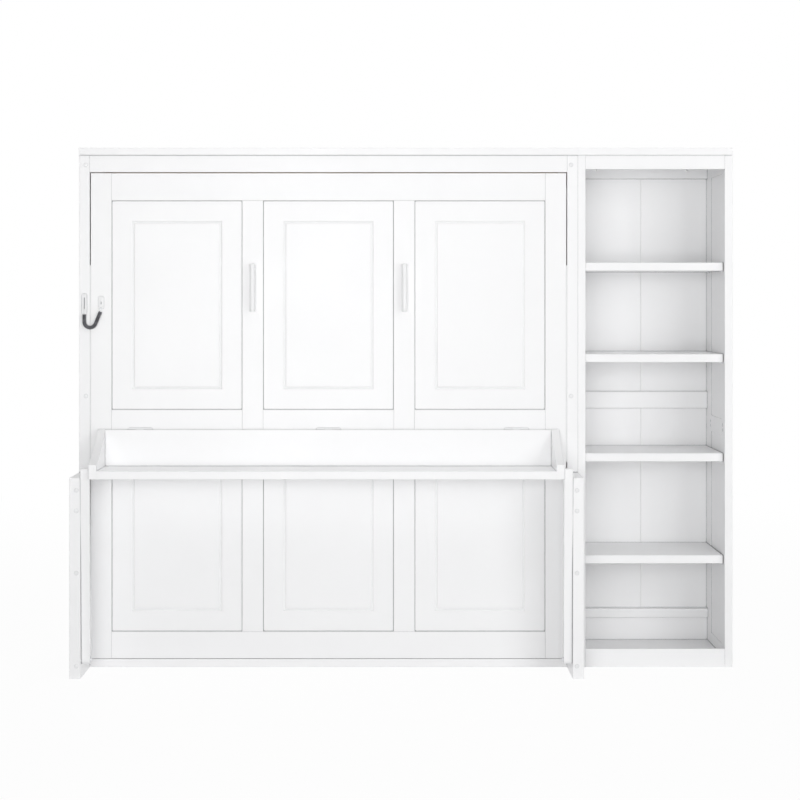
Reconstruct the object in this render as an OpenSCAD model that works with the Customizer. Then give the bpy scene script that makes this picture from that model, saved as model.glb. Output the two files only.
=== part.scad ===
// Wall bed with a fold-down desk and an open bookcase.
//
// The bed front tips forward about two pivots near the floor. A shelf-like desk hangs from the bed front on
// three hinges, and two side arms parallel to the bed front keep it level, so the desk travels down under the
// open bed without being cleared. Two bar handles on the bed front swing out as its legs.
//
// Drawn from the left outer side of the bed cabinet (x), its front plane (y, to the back) and the floor (z),
// then moved so that the origin is the middle of the footprint, on the floor. Millimetres.

/* [Bed cabinet] */
// Outer width of the bed cabinet
cabinet_w = 2095; // [1700:5:2300]
// Height from the floor to the top of the two top boards
cabinet_h = 2180; // [2120:5:2400]
// Depth from the front plane to the wall
cabinet_d = 433; // [400:1:560]
// Thickness of the bed cabinet's sides
side_t = 45; // [38:1:55]
// Thickness of the two top boards
top_t = 30; // [18:1:38]
// How far the top boards stand forward of the front plane
top_overhang = 6; // [0:1:20]
// Height of the header rail under the top board
header_h = 72; // [50:1:110]
// Height of the toe rail under the bed front
toe_h = 34.5; // [20:0.5:36]
// Thickness of the header, toe, plinth and wall rails
rail_t = 18; // [15:1:22]
// Height of the deep lower sides
lower_side_h = 817; // [760:1:900]
// How far the deep lower sides stand forward of the front plane
lower_side_front = 235; // [220:1:300]
// Height of the two wall rails
wall_rail_h = 100; // [70:1:140]
// Height of the lower wall rail's underside above the floor
wall_rail_low_z = 900; // [600:5:1200]
// Radius of the holes for the wall screws
wall_hole_r = 4; // [2.5:0.5:6]
// Distance between the two wall screws of a bed cabinet rail
wall_hole_pitch = 1500; // [1000:10:1540]

/* [Bed front] */
// Gap between the bed front and the cabinet sides and header
front_gap = 4; // [3:0.5:8]
// Gap between the bed front and the toe rail
toe_gap = 1.5; // [1.5:0.5:8]
// Thickness of the face frame's stiles and rails
face_t = 22; // [20:1:26]
// Width of the face frame's stiles
stile_w = 88; // [70:1:110]
// Height of the face frame's top rail
face_top_h = 115; // [80:1:150]
// Height of the face frame's middle rail
face_mid_h = 118; // [90:1:150]
// Height of the middle rail's centre above the floor
face_mid_z = 1022; // [1012:1:1032]
// Height of the face frame's bottom rail
face_bottom_h = 113; // [80:1:150]
// Thickness of the panels held in the face frame
panel_t = 12; // [8:1:13]
// How far the panels lie behind the face frame
panel_recess = 5; // [2:0.5:7]
// Distance from a panel's edge to its routed rectangle
groove_inset = 85; // [60:1:120]
// Width of the routed line
groove_w = 13; // [6:0.5:20]
// Depth of the routed line
groove_depth = 3; // [1:0.25:4]

/* [Bed frame] */
// Thickness of the side rails
bed_rail_t = 18; // [15:1:25]
// Thickness of the end rails
end_rail_t = 12; // [10:1:14]
// Depth of the frame behind the bed front
frame_d = 140; // [100:1:150]
// How far the frame ends below the top of the bed front
frame_drop = 8; // [8:1:20]
// Thickness of the slat bearers
bearer_t = 20; // [15:1:30]
// Width of the slat bearers
bearer_w = 25; // [20:1:40]
// Number of slats
slat_count = 13; // [8:1:16]
// Width of a slat
slat_w = 70; // [50:1:90]
// Thickness of a slat
slat_t = 18; // [12:1:25]
// Height of the bed's pivots above the floor
pivot_z = 246; // [246:1:270]
// How far the bed's pivots lie behind the front plane
pivot_y = 20; // [15:1:25]
// Radius of the bed's pivot pins
pivot_r = 8; // [6:0.5:10]

/* [Desk] */
// Height of the desk's top above the floor
desk_top_z = 846; // [836:1:850]
// Thickness of the desk board
desk_t = 33; // [20:1:36]
// How far the desk's front edge stands forward of the front plane
desk_front = 253; // [240:1:300]
// Thickness of the desk's back board
desk_back_t = 20; // [15:1:28]
// Height of the desk's back board above the desk's top
desk_back_h = 152; // [145:1:160]
// Thickness of the desk's cheeks
cheek_t = 32; // [20:1:40]
// Height of a cheek's front edge
cheek_front_h = 59; // [50:1:90]
// How far a cheek's sloping edge dips below a straight line
cheek_dip = 14; // [5:1:20]
// Thickness of the side arms
arm_t = 35; // [18:1:38]
// Width of the side arms
arm_w = 34; // [30:1:40]
// How far the side arms reach above their upper pivots
arm_over = 28; // [20:1:34]
// How far the arms' lower pivots lie behind the front edges of the lower sides
arm_pivot_in = 36; // [30:1:50]
// How far the arms' upper pivots lie below the desk's top
arm_pivot_drop = 19; // [15:1:25]
// Radius of the arms' pivot bolts
arm_bolt_r = 6; // [4:0.5:8]
// Distance between the middle desk hinge and an outer one
hinge_pitch = 790; // [500:5:800]
// Length of a desk hinge
hinge_w = 98; // [60:1:120]
// Radius of a desk hinge's knuckles
knuckle_r = 3; // [2.5:0.25:6]

/* [Handle legs] */
// Diameter of the bar that is handle and leg
leg_d = 22; // [18:1:26]
// Distance from the bed front to the middle of the bar
leg_standoff = 30; // [24:1:34]
// Height of a leg's hinge above the floor while the bed is closed
leg_axis_z = 1688; // [1500:1:1850]

/* [Security chain] */
// Height of the middle of the track plate
track_z = 1524; // [1400:1:1700]
// Length of the track plate
track_l = 86; // [80:1:110]
// Width of the track plate
track_w = 20; // [16:1:26]
// Length of the slot in the track plate
slot_l = 56; // [40:1:60]
// Diameter of the chain's sleeve
sleeve_d = 14; // [10:0.5:16]
// Radius of the sleeve's hanging bend
sleeve_bend_r = 24.5; // [20:0.5:28]

/* [Bookcase] */
// Outer width of the bookcase
bookcase_w = 649; // [500:1:900]
// Thickness of the bookcase's sides
book_side_t = 32; // [22:1:40]
// Height of the header rail under the bookcase's top board
book_header_h = 59; // [40:1:90]
// Height of the plinth rail
plinth_h = 76; // [60:1:120]
// Height of the floor board's top
floor_z = 38; // [30:1:50]
// Thickness of the shelves
shelf_t = 34; // [18:1:40]
// Heights of the shelves' tops above the floor
shelf_z = [465, 895, 1313, 1699]; // [200:1:1900]
// How far the shelves' front edges lie behind the front plane
shelf_inset = 29; // [20:1:60]
// Gap at the shelves' right ends
shelf_end_gap = 3; // [1:0.5:6]
// Thickness of the back sheets
back_t = 6; // [3:1:9]
// Height of the back rails
back_rail_h = 72; // [50:1:100]
// Thickness of the back rails
back_rail_t = 20; // [15:1:25]
// Width of the side frame's front stile
book_stile_w = 65; // [50:1:80]
// Width of the side frame's rear stile
book_rear_stile_w = 116; // [60:1:130]
// Thickness of the side frame's infill panels
infill_t = 16; // [8:1:18]
// How far the infill panels lie behind the inner face of the side frame
infill_recess = 2; // [0.5:0.5:10]
// Distance between the two wall screws of the bookcase
book_hole_pitch = 400; // [200:10:480]

/* [Fits] */
// Ease on the long edges of the boards
ease = 1; // [0.5:0.25:2]
// Side clearance of the arms and of boards that move past each other
side_clear = 0.5; // [0.5:0.25:2]
// Radial running clearance of a pin in its bore
run_clear = 0.08; // [0.03:0.01:0.1]
// Radial clearance of the linkage's open pivots
open_clear = 0.5; // [0.3:0.1:1]
// Gap between faces that close against each other
close_gap = 0.4; // [0.3:0.1:1]
// Clearance of a panel's edge in its groove
groove_clear = 0.5; // [0.3:0.1:1]

/* [Hidden] */
$fn = 48;

// Colours
white = [0.95, 0.95, 0.96];
white_metal = [0.92, 0.92, 0.93];
steel = [0.72, 0.73, 0.75];
nylon = [0.85, 0.85, 0.83];
timber = [0.86, 0.77, 0.62];
sleeve_black = [0.14, 0.14, 0.16];

// Cabinet
total_w = cabinet_w + bookcase_w;
front_y = -max(desk_front, lower_side_front);
top_under = cabinet_h - top_t;
header_under = top_under - header_h;
side_in_left = side_t;
side_in_right = cabinet_w - side_t;
wall_y = cabinet_d - rail_t;

// Screw caps: places on the front faces, as heights
cap_r = 8.5;
cap_t = 1.5;
cap_peg_r = 4;
cap_peg_l = 14;
cap_x = 0.63 * side_t;
low_caps_from_floor = [51, 430];
low_caps_from_top = [134, 50];
mid_cap_up = 321;
top_cap_down = 71;
lower_cap_z = concat(low_caps_from_floor, [for (d = low_caps_from_top) lower_side_h - d]);
upper_cap_z = [lower_side_h + mid_cap_up, cabinet_h - top_cap_down];
dowel_r = 5;
dowel_l = 60;
dowel_in = 60;
dowel_y = [dowel_in, cabinet_d / 2, cabinet_d - dowel_in];
fuse = 0.5;

// Bed front
face_x0 = side_in_left + front_gap;
face_x1 = side_in_right - front_gap;
face_z0 = toe_h + toe_gap;
face_z1 = header_under - front_gap;
columns = 3;
column_w = (face_x1 - face_x0 - (columns + 1) * stile_w) / columns;
column_step = column_w + stile_w;
mid_z0 = face_mid_z - face_mid_h / 2;
mid_z1 = face_mid_z + face_mid_h / 2;
upper_panel_z = [mid_z1, face_z1 - face_top_h];
lower_panel_z = [face_z0 + face_bottom_h, mid_z0];
tongue = 8;
panel_y0 = panel_recess;
panel_y1 = panel_recess + panel_t;

// Stop strips behind the edges of the bed front, each with a lip that closes the gap beside it
strip_w = 16;
strip_d = 20;
strip_z0 = lower_side_h + 43;
strip_z1 = leg_axis_z;
lip_back = 1;

// Bed frame
frame_x0 = side_in_left + strip_w + 3;
frame_x1 = cabinet_w - frame_x0;
frame_y1 = face_t + frame_d;
frame_z0 = face_z0;
frame_z1 = face_z1 - frame_drop;
bay_x0 = frame_x0 + bed_rail_t;
bay_x1 = frame_x1 - bed_rail_t;
bearer_y1 = face_t + bearer_t;
slat_y1 = bearer_y1 + slat_t;
slat_z0 = frame_z0 + end_rail_t + 10;
slat_z1 = frame_z1 - end_rail_t - 10;
slat_step = (slat_z1 - slat_z0 - slat_w) / (slat_count - 1);

// Bed pivots: a steel plate with a stub pin on each side of the bed, a bush in each cabinet side
plate_t = 5;
plate_half_h = 50;
plate_fore = 14;
plate_aft = 45;
plate_y0 = pivot_y - plate_fore;
plate_y1 = pivot_y + plate_aft;
bush_wall = 4;
bush_depth = 26;
bush_flange_t = 2;
pin_reach = 22;

// Desk and its linkage
desk_gap = 6;
cheek_x0 = side_in_left + side_clear + arm_t + side_clear;
cheek_x1 = cabinet_w - cheek_x0;
desk_x0 = cheek_x0 + cheek_t;
desk_x1 = cheek_x1 - cheek_t;
desk_under = desk_top_z - desk_t;
desk_rear = -desk_gap;
desk_back_top = desk_top_z + desk_back_h;
hinge_y = -(knuckle_r + 0.5);
hinge_z = desk_back_top + knuckle_r + 0.5;
cheek_top = hinge_z - 2.5;
cheek_flat = 18;
stud_behind = 18;
arm_base_y = arm_pivot_in - min(lower_side_front, desk_front - stud_behind);
arm_top_y = arm_base_y + hinge_y - pivot_y;
arm_top_z = desk_top_z - arm_pivot_drop;
arm_base_z = pivot_z + arm_top_z - hinge_z;
arm_len = norm([hinge_y - pivot_y, hinge_z - pivot_z]);
arm_tilt = atan2(pivot_y - hinge_y, hinge_z - pivot_z);
bolt_x = side_t + side_clear + arm_t + close_gap;
bolt_head_t = 4.5;
bolt_head_r = arm_bolt_r + 5;
arm_corner_r = 5;
arc_step = 7.5;

// Desk hinges
leaf_t = 2;
leaf_h = 28;
leaf_z0 = hinge_z - knuckle_r - leaf_h;
leaf_z1 = desk_back_top;
knuckle_gap = 0.4;
hinge_pin_r = knuckle_r / 2;
hinge_x = [cabinet_w / 2 - hinge_pitch, cabinet_w / 2, cabinet_w / 2 + hinge_pitch];
knuckle_w = (hinge_w - 2 * knuckle_gap) / 3;

// Handle legs: as long as the open bed's underside is high
floor_clear = 1;
open_under = pivot_z - pivot_y;
leg_r = leg_d / 2;
leg_len = open_under - leg_standoff - floor_clear;
leg_end = 5;
leg_pin_r = 2.5;
tongue_t = 6;
tongue_r = 4.8;
rose_r = 10;
rose_t = 3;
rose_drop = 6;
rest_r = 5;
rest_up = 25;
leg_x = [for (i = [1, columns - 1]) face_x0 + i * column_step + stile_w / 2];
rest_z = leg_axis_z - leg_len + rest_up;

// Security chain
plate_ease = 0.6;
track_x = side_t / 2;
track_t = 4.5;
lip_t = 1.5;
slot_w = 4;
channel_w = 12;
button_r = 5;
stem_r = 1.7;
slot_z0 = track_z - slot_l / 2;
slot_z1 = track_z + slot_l / 2;
slider_z = slot_z0 + slot_w;
anchor_x = face_x0 + stile_w / 2;
anchor_w = 23;
anchor_h = 52;
anchor_t = 2.5;
anchor_z = track_z + 7;
sleeve_r = sleeve_d / 2;
sleeve_y = -sleeve_r - 2;
sleeve_top_z = track_z - track_l / 2 - 5;
bend_z = sleeve_top_z - 26;
bend_x = track_x + sleeve_bend_r;
sleeve_end_z = anchor_z - anchor_h / 2 - 8;
to_end = [anchor_x - bend_x, sleeve_end_z - bend_z];
tangent_angle = atan2(to_end.y, to_end.x) - acos(sleeve_bend_r / norm(to_end));
tangent_l = sqrt(norm(to_end) * norm(to_end) - sleeve_bend_r * sleeve_bend_r);

// Bookcase
book_x0 = cabinet_w;
book_in0 = book_x0 + book_side_t;
book_x1 = total_w;
book_in1 = book_x1 - book_side_t;
book_mid = (book_in0 + book_in1) / 2;
back_y = cabinet_d - back_t;
back_rail_y = back_y - back_rail_t;
book_rear_y = cabinet_d - book_rear_stile_w;
side_low_rail_h = 85;
side_mid_rail_z = [967, 1037];
side_top_rail_h = 75;
side_rail_z = [[0, side_low_rail_h], side_mid_rail_z, [top_under - side_top_rail_h, top_under]];
cleat_d = 35;
cleat_z = [139, 177];
back_mid_z = 1063;
sheet_seam = 1;
shelf_pin_r = 2.5;
shelf_pin_l = 18;
shelf_pin_fore = 45;
shelf_pin_aft = 83;
shelf_pin_y = [shelf_pin_fore, cabinet_d - shelf_pin_aft];
cam_r = 7.5;
cam_depth = 12;
cam_in = 14;
cam_up = [25, 46];
cam_cross_l = 7;
cam_cross_w = 1.6;
cam_y = [book_stile_w - cam_in, book_rear_y + cam_in];
cam_z = [for (d = cam_up) side_mid_rail_z[0] + d];

// Moves a sub-part from the drawing's zero to the middle of the footprint.
module place() translate([-total_w / 2, -(front_y + cabinet_d) / 2, 0]) children();

// Repeats a left-hand shape on the right of the bed cabinet.
module on_right() translate([cabinet_w, 0, 0]) mirror([1, 0, 0]) children();

module both_sides() {
  children();
  on_right() children();
}

// Rectangle with its four corners eased.
module eased(w, h, c) {
  polygon([
    [c, 0], [w - c, 0], [w, c], [w, h - c],
    [w - c, h], [c, h], [0, h - c], [0, c]
  ]);
}

// Board between two corners with the four edges along one axis eased.
module board(lo, hi, along = "z", c = ease) {
  s = hi - lo;
  if (along == "z") translate(lo) linear_extrude(s.z) eased(s.x, s.y, c);
  if (along == "x") translate(lo) rotate([90, 0, 90]) linear_extrude(s.x) eased(s.y, s.z, c);
  if (along == "y") translate([lo.x, hi.y, lo.z]) rotate([90, 0, 0]) linear_extrude(s.y) eased(s.x, s.z, c);
}

// Plain block between two corners.
module block(lo, hi) translate(lo) cube(hi - lo);

// Round bar along x from x0 to x1.
module bar_x(x0, x1, y, z, r) translate([x0, y, z]) rotate([0, 90, 0]) cylinder(h = x1 - x0, r = r);

// Round bar along y from y0 to y1.
module bar_y(x, y0, y1, z, r) translate([x, y1, z]) rotate([90, 0, 0]) cylinder(h = y1 - y0, r = r);

// ---------- Bed cabinet ----------

module side_upper() {
  color(white) difference() {
    board([0, 0, lower_side_h], [side_t, cabinet_d, top_under]);
    for (z = upper_cap_z) bar_y(cap_x, -1, cap_peg_l + 2, z, cap_peg_r);
    for (y = dowel_y) translate([side_t / 2, y, lower_side_h - 1]) cylinder(h = dowel_l / 2 + 2, r = dowel_r);
  }
}

module side_lower() {
  peg_y = -lower_side_front;
  dowel_z = lower_side_h - dowel_l / 2 - 1;
  color(white) difference() {
    board([0, peg_y, 0], [side_t, cabinet_d, lower_side_h]);
    for (z = lower_cap_z) bar_y(cap_x, peg_y - 1, peg_y + cap_peg_l + 2, z, cap_peg_r);
    for (y = dowel_y) translate([side_t / 2, y, dowel_z]) cylinder(h = dowel_l / 2 + 2, r = dowel_r);
    bar_x(side_t - bush_depth, side_t + 1, pivot_y, pivot_z, pivot_r + bush_wall);
    bar_x(side_t - bush_flange_t, side_t + 1, pivot_y, pivot_z, pivot_r + 2 * bush_wall);
    bar_x(side_t - bush_depth, side_t + 1, arm_base_y, arm_base_z, arm_bolt_r);
  }
}

module side_upper_left() place() side_upper();
module side_upper_right() place() on_right() side_upper();
module side_lower_left() place() side_lower();
module side_lower_right() place() on_right() side_lower();

module bed_top_board() place() color(white)
  board([0, -top_overhang, top_under], [cabinet_w, cabinet_d, cabinet_h], "x");

module header_rail() place() color(white)
  board([side_in_left, 0, header_under], [side_in_right, rail_t, top_under], "x");

module toe_rail() place() color(white)
  board([side_in_left, 0, 0], [side_in_right, rail_t, toe_h], "x");

// Rail against the wall with two screw holes.
module wall_rail(z0) {
  difference() {
    board([side_in_left, wall_y, z0], [side_in_right, cabinet_d, z0 + wall_rail_h], "x");
    for (s = [-1, 1])
      bar_y(cabinet_w / 2 + s * wall_hole_pitch / 2, wall_y - 1, cabinet_d + 1, z0 + wall_rail_h / 2, wall_hole_r);
  }
}

module wall_rails() place() color(timber) {
  wall_rail(top_under - wall_rail_h);
  wall_rail(wall_rail_low_z);
}

module stop_strips() place() color(white) both_sides() {
  y0 = face_t + close_gap;
  board([side_in_left, y0, strip_z0], [side_in_left + strip_w, y0 + strip_d, strip_z1]);
  block([side_in_left, lip_back, strip_z0], [face_x0 - side_clear, y0 + strip_d / 2, strip_z1]);
}

// Cap whose head lies on the front face at y0.
module screw_cap(y0, z) {
  bar_y(cap_x, y0 - cap_t, y0, z, cap_r);
  bar_y(cap_x, y0 - cap_t / 2, y0 + cap_peg_l, z, cap_peg_r);
}

module screw_caps() place() color(white_metal) both_sides() {
  for (z = upper_cap_z) screw_cap(0, z);
  for (z = lower_cap_z) screw_cap(-lower_side_front, z);
}

module side_dowels() place() color(timber) both_sides()
  for (y = dowel_y) translate([side_t / 2, y, lower_side_h - dowel_l / 2]) cylinder(h = dowel_l, r = dowel_r);

module pivot_bushes() place() color(nylon) both_sides() difference() {
  union() {
    bar_x(side_t - bush_depth, side_t, pivot_y, pivot_z, pivot_r + bush_wall);
    bar_x(side_t - bush_flange_t, side_t, pivot_y, pivot_z, pivot_r + 2 * bush_wall);
  }
  bar_x(side_t - bush_depth - 1, side_t + 1, pivot_y, pivot_z, pivot_r + run_clear);
}

module arm_pivot_bolts() place() color(steel) both_sides() {
  bar_x(side_t - bush_depth, bolt_x + fuse, arm_base_y, arm_base_z, arm_bolt_r);
  bar_x(bolt_x, bolt_x + bolt_head_t, arm_base_y, arm_base_z, bolt_head_r);
}

// ---------- Bookcase ----------

module pin_holes(x) {
  for (z = shelf_z) for (y = shelf_pin_y)
    bar_x(x - shelf_pin_l / 2, x + shelf_pin_l / 2, y, z - shelf_t - shelf_pin_r, shelf_pin_r);
}

module bookcase_side_left() place() color(white) difference() {
  board([book_x0, 0, 0], [book_in0, cabinet_d, top_under]);
  pin_holes(book_in0);
}

module cam_holes() {
  for (y = cam_y) for (z = cam_z) bar_x(book_in1 - 1, book_in1 + cam_depth, y, z, cam_r);
}

module bookcase_stile_front() place() color(white) difference() {
  board([book_in1, 0, 0], [book_x1, book_stile_w, top_under]);
  pin_holes(book_in1);
  cam_holes();
}

module bookcase_stile_rear() place() color(white) difference() {
  board([book_in1, book_rear_y, 0], [book_x1, cabinet_d, top_under]);
  pin_holes(book_in1);
  cam_holes();
}

module bookcase_side_rails() place() color(white)
  for (z = side_rail_z) board([book_in1, book_stile_w, z[0]], [book_x1, book_rear_y, z[1]], "y");

module bookcase_side_panels() place() color(white)
  for (i = [0, 1]) block(
    [book_in1 + infill_recess, book_stile_w, side_rail_z[i][1]],
    [book_in1 + infill_recess + infill_t, book_rear_y, side_rail_z[i + 1][0]]
  );

module bookcase_top() place() color(white)
  board([book_x0, -top_overhang, top_under], [book_x1, cabinet_d, cabinet_h], "x");

module bookcase_header() place() color(white)
  board([book_in0, 0, top_under - book_header_h], [book_in1, rail_t, top_under], "x");

module bookcase_plinth() place() color(white)
  board([book_in0, 0, 0], [book_in1, rail_t, plinth_h], "x");

module bookcase_floor() place() color(white)
  board([book_in0, rail_t, floor_z - rail_t], [book_in1, back_y, floor_z], "x");

module shelf(i) {
  lo = [book_in0 + side_clear, shelf_inset, shelf_z[i] - shelf_t];
  hi = [book_in1 - shelf_end_gap, back_y - side_clear, shelf_z[i]];
  place() color(white) board(lo, hi, "x");
}

module shelf_1() shelf(0);
module shelf_2() shelf(1);
module shelf_3() shelf(2);
module shelf_4() shelf(3);

module shelf_pins() place() color(steel) {
  pin_holes(book_in0);
  pin_holes(book_in1);
}

// Two holes for the bookcase's wall screws, from y0 to y1.
module book_wall_holes(y0, y1) {
  for (s = [-1, 1])
    bar_y(book_mid + s * book_hole_pitch / 2, y0, y1, top_under - back_rail_h / 2, wall_hole_r);
}

module bookcase_back_sheets() place() color(white) difference() {
  union() {
    block([book_in0, back_y, floor_z - rail_t], [book_mid - sheet_seam / 2, cabinet_d, top_under]);
    block([book_mid + sheet_seam / 2, back_y, floor_z - rail_t], [book_in1, cabinet_d, top_under]);
  }
  book_wall_holes(back_y - 1, cabinet_d + 1);
}

// Rails in front of the back sheets; the top one takes two wall screws.
module bookcase_back_rails() place() color(white) {
  difference() {
    board([book_in0, back_rail_y, top_under - back_rail_h], [book_in1, back_y, top_under], "x");
    book_wall_holes(back_rail_y - 1, back_y + 1);
  }
  board([book_in0, back_rail_y, back_mid_z], [book_in1, back_y, back_mid_z + back_rail_h], "x");
  board([book_in0, back_rail_y, floor_z], [book_in1, back_y, cleat_z[0]], "x");
  board([book_in0, back_y - cleat_d, cleat_z[0]], [book_in1, back_y, cleat_z[1]], "x");
}

// Cam lock with a cross for the driver, let into the side frame.
module cam_lock(y, z) {
  l = cam_cross_l / 2;
  w = cam_cross_w / 2;
  difference() {
    bar_x(book_in1 + 0.3, book_in1 + cam_depth, y, z, cam_r);
    block([book_in1, y - l, z - w], [book_in1 + 1.8, y + l, z + w]);
    block([book_in1, y - w, z - l], [book_in1 + 1.8, y + w, z + l]);
  }
}

module cam_locks() place() color(steel) for (y = cam_y) for (z = cam_z) cam_lock(y, z);

// ---------- Bed front ----------

// Left edge of stile i, counted from the left.
function stile_x(i) = face_x0 + i * column_step;

module face_stile(i, z0, z1) board([stile_x(i), 0, z0], [stile_x(i) + stile_w, face_t, z1]);

// Grooves that hold the panels' tongues, for a stretch of stiles and rails.
module panel_seats() {
  for (i = [0:columns - 1]) for (z = [upper_panel_z, lower_panel_z])
    block(
      [stile_x(i) + stile_w - tongue - groove_clear, panel_y0, z[0] - tongue - groove_clear],
      [stile_x(i + 1) + tongue + groove_clear, panel_y1, z[1] + tongue + groove_clear]
    );
}

// Room in an outer stile for a pivot plate and its pin.
module plate_seat() {
  block(
    [frame_x0 - plate_t - close_gap, plate_y0 - close_gap, pivot_z - plate_half_h - close_gap],
    [frame_x0, face_t + 1, pivot_z + plate_half_h + close_gap]
  );
  bar_x(face_x0 - 1, frame_x0, pivot_y, pivot_z, pivot_r + open_clear);
}

module face_stiles_outer() place() color(white) difference() {
  union() {
    face_stile(0, face_z0, face_z1);
    face_stile(columns, face_z0, face_z1);
  }
  panel_seats();
  both_sides() plate_seat();
}

// The inner stiles stand between the bottom rail and the top rail.
module face_stiles_inner() place() color(white) difference() {
  for (i = [1:columns - 1]) face_stile(i, lower_panel_z[0], upper_panel_z[1]);
  panel_seats();
}

// Rail in one length between the outer stiles.
module long_rail(z0, z1) {
  color(white) difference() {
    board([stile_x(0) + stile_w, 0, z0], [stile_x(columns), face_t, z1], "x");
    panel_seats();
  }
}

module face_top_rail() place() long_rail(upper_panel_z[1], face_z1);
module face_bottom_rail() place() long_rail(face_z0, lower_panel_z[0]);

module face_mid_rails() place() color(white) difference() {
  for (i = [0:columns - 1]) board([stile_x(i) + stile_w, 0, mid_z0], [stile_x(i + 1), face_t, mid_z1], "x");
  panel_seats();
}

// Rectangular ring cut into a panel's front, inset from the opening between x0, x1, z0, z1.
module routed_line(x0, x1, z0, z1) {
  difference() {
    block(
      [x0 + groove_inset, panel_y0 - 1, z0 + groove_inset],
      [x1 - groove_inset, panel_y0 + groove_depth, z1 - groove_inset]
    );
    block(
      [x0 + groove_inset + groove_w, panel_y0 - 2, z0 + groove_inset + groove_w],
      [x1 - groove_inset - groove_w, panel_y0 + groove_depth + 1, z1 - groove_inset - groove_w]
    );
  }
}

module face_panels(z) {
  color(white) for (i = [0:columns - 1]) {
    x0 = stile_x(i) + stile_w;
    x1 = stile_x(i + 1);
    difference() {
      block([x0 - tongue, panel_y0, z[0] - tongue], [x1 + tongue, panel_y1, z[1] + tongue]);
      routed_line(x0, x1, z[0], z[1]);
    }
  }
}

module face_panels_upper() place() face_panels(upper_panel_z);
module face_panels_lower() place() face_panels(lower_panel_z);

// ---------- Bed frame ----------

module bed_rail() color(timber) board([frame_x0, face_t, frame_z0], [bay_x0, frame_y1, frame_z1]);

module bed_rail_left() place() bed_rail();
module bed_rail_right() place() on_right() bed_rail();

module bed_end_rails() place() color(timber) {
  board([bay_x0, face_t, frame_z0], [bay_x1, frame_y1, frame_z0 + end_rail_t], "x");
  board([bay_x0, face_t, frame_z1 - end_rail_t], [bay_x1, frame_y1, frame_z1], "x");
}

module bearer(x0)
  board([x0, face_t, frame_z0 + end_rail_t], [x0 + bearer_w, bearer_y1, frame_z1 - end_rail_t]);

module slat_bearers() place() color(timber) {
  bearer(bay_x0);
  bearer(cabinet_w / 2 - bearer_w / 2);
  bearer(bay_x1 - bearer_w);
}

// Slat whose lower edge is at z.
module slat(z) board([bay_x0 + side_clear, bearer_y1, z], [bay_x1 - side_clear, slat_y1, z + slat_w], "x");

module bed_slats() place() color(timber) for (i = [0:slat_count - 1]) slat(slat_z0 + i * slat_step);

module pivot_plate() {
  block([frame_x0 - plate_t, plate_y0, pivot_z - plate_half_h], [frame_x0, plate_y1, pivot_z + plate_half_h]);
  bar_x(side_t - pin_reach, frame_x0 - 1, pivot_y, pivot_z, pivot_r);
}

module pivot_plates() place() color(steel) both_sides() pivot_plate();

// ---------- Handle legs ----------

// Round bracket whose tongue enters the bar from behind, with a riveted pin, and the rest under the bar's foot.
module leg_bracket(x) {
  bar_y(x, -rose_t, 0, leg_axis_z - rose_drop, rose_r);
  block(
    [x - tongue_t / 2, -leg_standoff, leg_axis_z - tongue_r],
    [x + tongue_t / 2, -rose_t + fuse, leg_axis_z + tongue_r]
  );
  bar_x(x - tongue_t / 2, x + tongue_t / 2, -leg_standoff, leg_axis_z, tongue_r);
  bar_x(x - leg_r + 1, x + leg_r - 1, -leg_standoff, leg_axis_z, leg_pin_r);
  bar_y(x, -leg_standoff + leg_r + close_gap, 0, rest_z, rest_r);
}

module leg_brackets() place() color(white_metal) for (x = leg_x) leg_bracket(x);

// Round bar with a slot for the tongue, open to the back and to the top.
module handle_leg(x) {
  slot_half = tongue_t / 2 + close_gap;
  slot_in = tongue_r + close_gap;
  color(white_metal) difference() {
    translate([x, -leg_standoff, leg_axis_z - leg_len]) cylinder(h = leg_len + leg_end, r = leg_r);
    block(
      [x - slot_half, -leg_standoff - slot_in, leg_axis_z - slot_in],
      [x + slot_half, -leg_standoff + leg_r + 1, leg_axis_z + leg_end + 1]
    );
    bar_x(x - leg_r - 1, x + leg_r + 1, -leg_standoff, leg_axis_z, leg_pin_r + run_clear);
  }
}

module handle_leg_left() place() handle_leg(leg_x[0]);
module handle_leg_right() place() handle_leg(leg_x[1]);

// ---------- Security chain ----------

// Plate on the front plane, w wide and l long about x and z, with lightly eased edges.
module front_plate(x, z, w, l, t) board([x - w / 2, -t, z - l / 2], [x + w / 2, 0, z + l / 2], "z", plate_ease);

module chain_track() place() color(white_metal) difference() {
  front_plate(track_x, track_z, track_w, track_l, track_t);
  block([track_x - channel_w / 2, -track_t + lip_t, slot_z0 - 3], [track_x + channel_w / 2, 1, slot_z1 + 3]);
  block([track_x - slot_w / 2, -track_t - 1, slot_z0], [track_x + slot_w / 2, 0, slot_z1]);
}

// Button that runs in the slot, with a tail down to the chain.
module chain_slider() place() color(white_metal) {
  bar_y(track_x, -track_t + lip_t + close_gap, -close_gap, slider_z, button_r);
  bar_y(track_x, -track_t - 2.5, -0.9, slider_z, stem_r);
  bar_y(track_x, -track_t - 3, -track_t - close_gap, slider_z, button_r - 1);
  block([track_x - 2.5, -track_t - 2.4, sleeve_top_z + close_gap], [track_x + 2.5, -track_t - 0.8, slider_z]);
}

module chain_anchor() place() color(white_metal) {
  front_plate(anchor_x, anchor_z, anchor_w, anchor_h, anchor_t);
  bar_y(anchor_x, -anchor_t - 2, -anchor_t, anchor_z + 10, 4);
  block([anchor_x - 3, sleeve_y - 1.5, sleeve_end_z + 0.2], [anchor_x + 3, -anchor_t + 0.5, sleeve_end_z + 10]);
}

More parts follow.
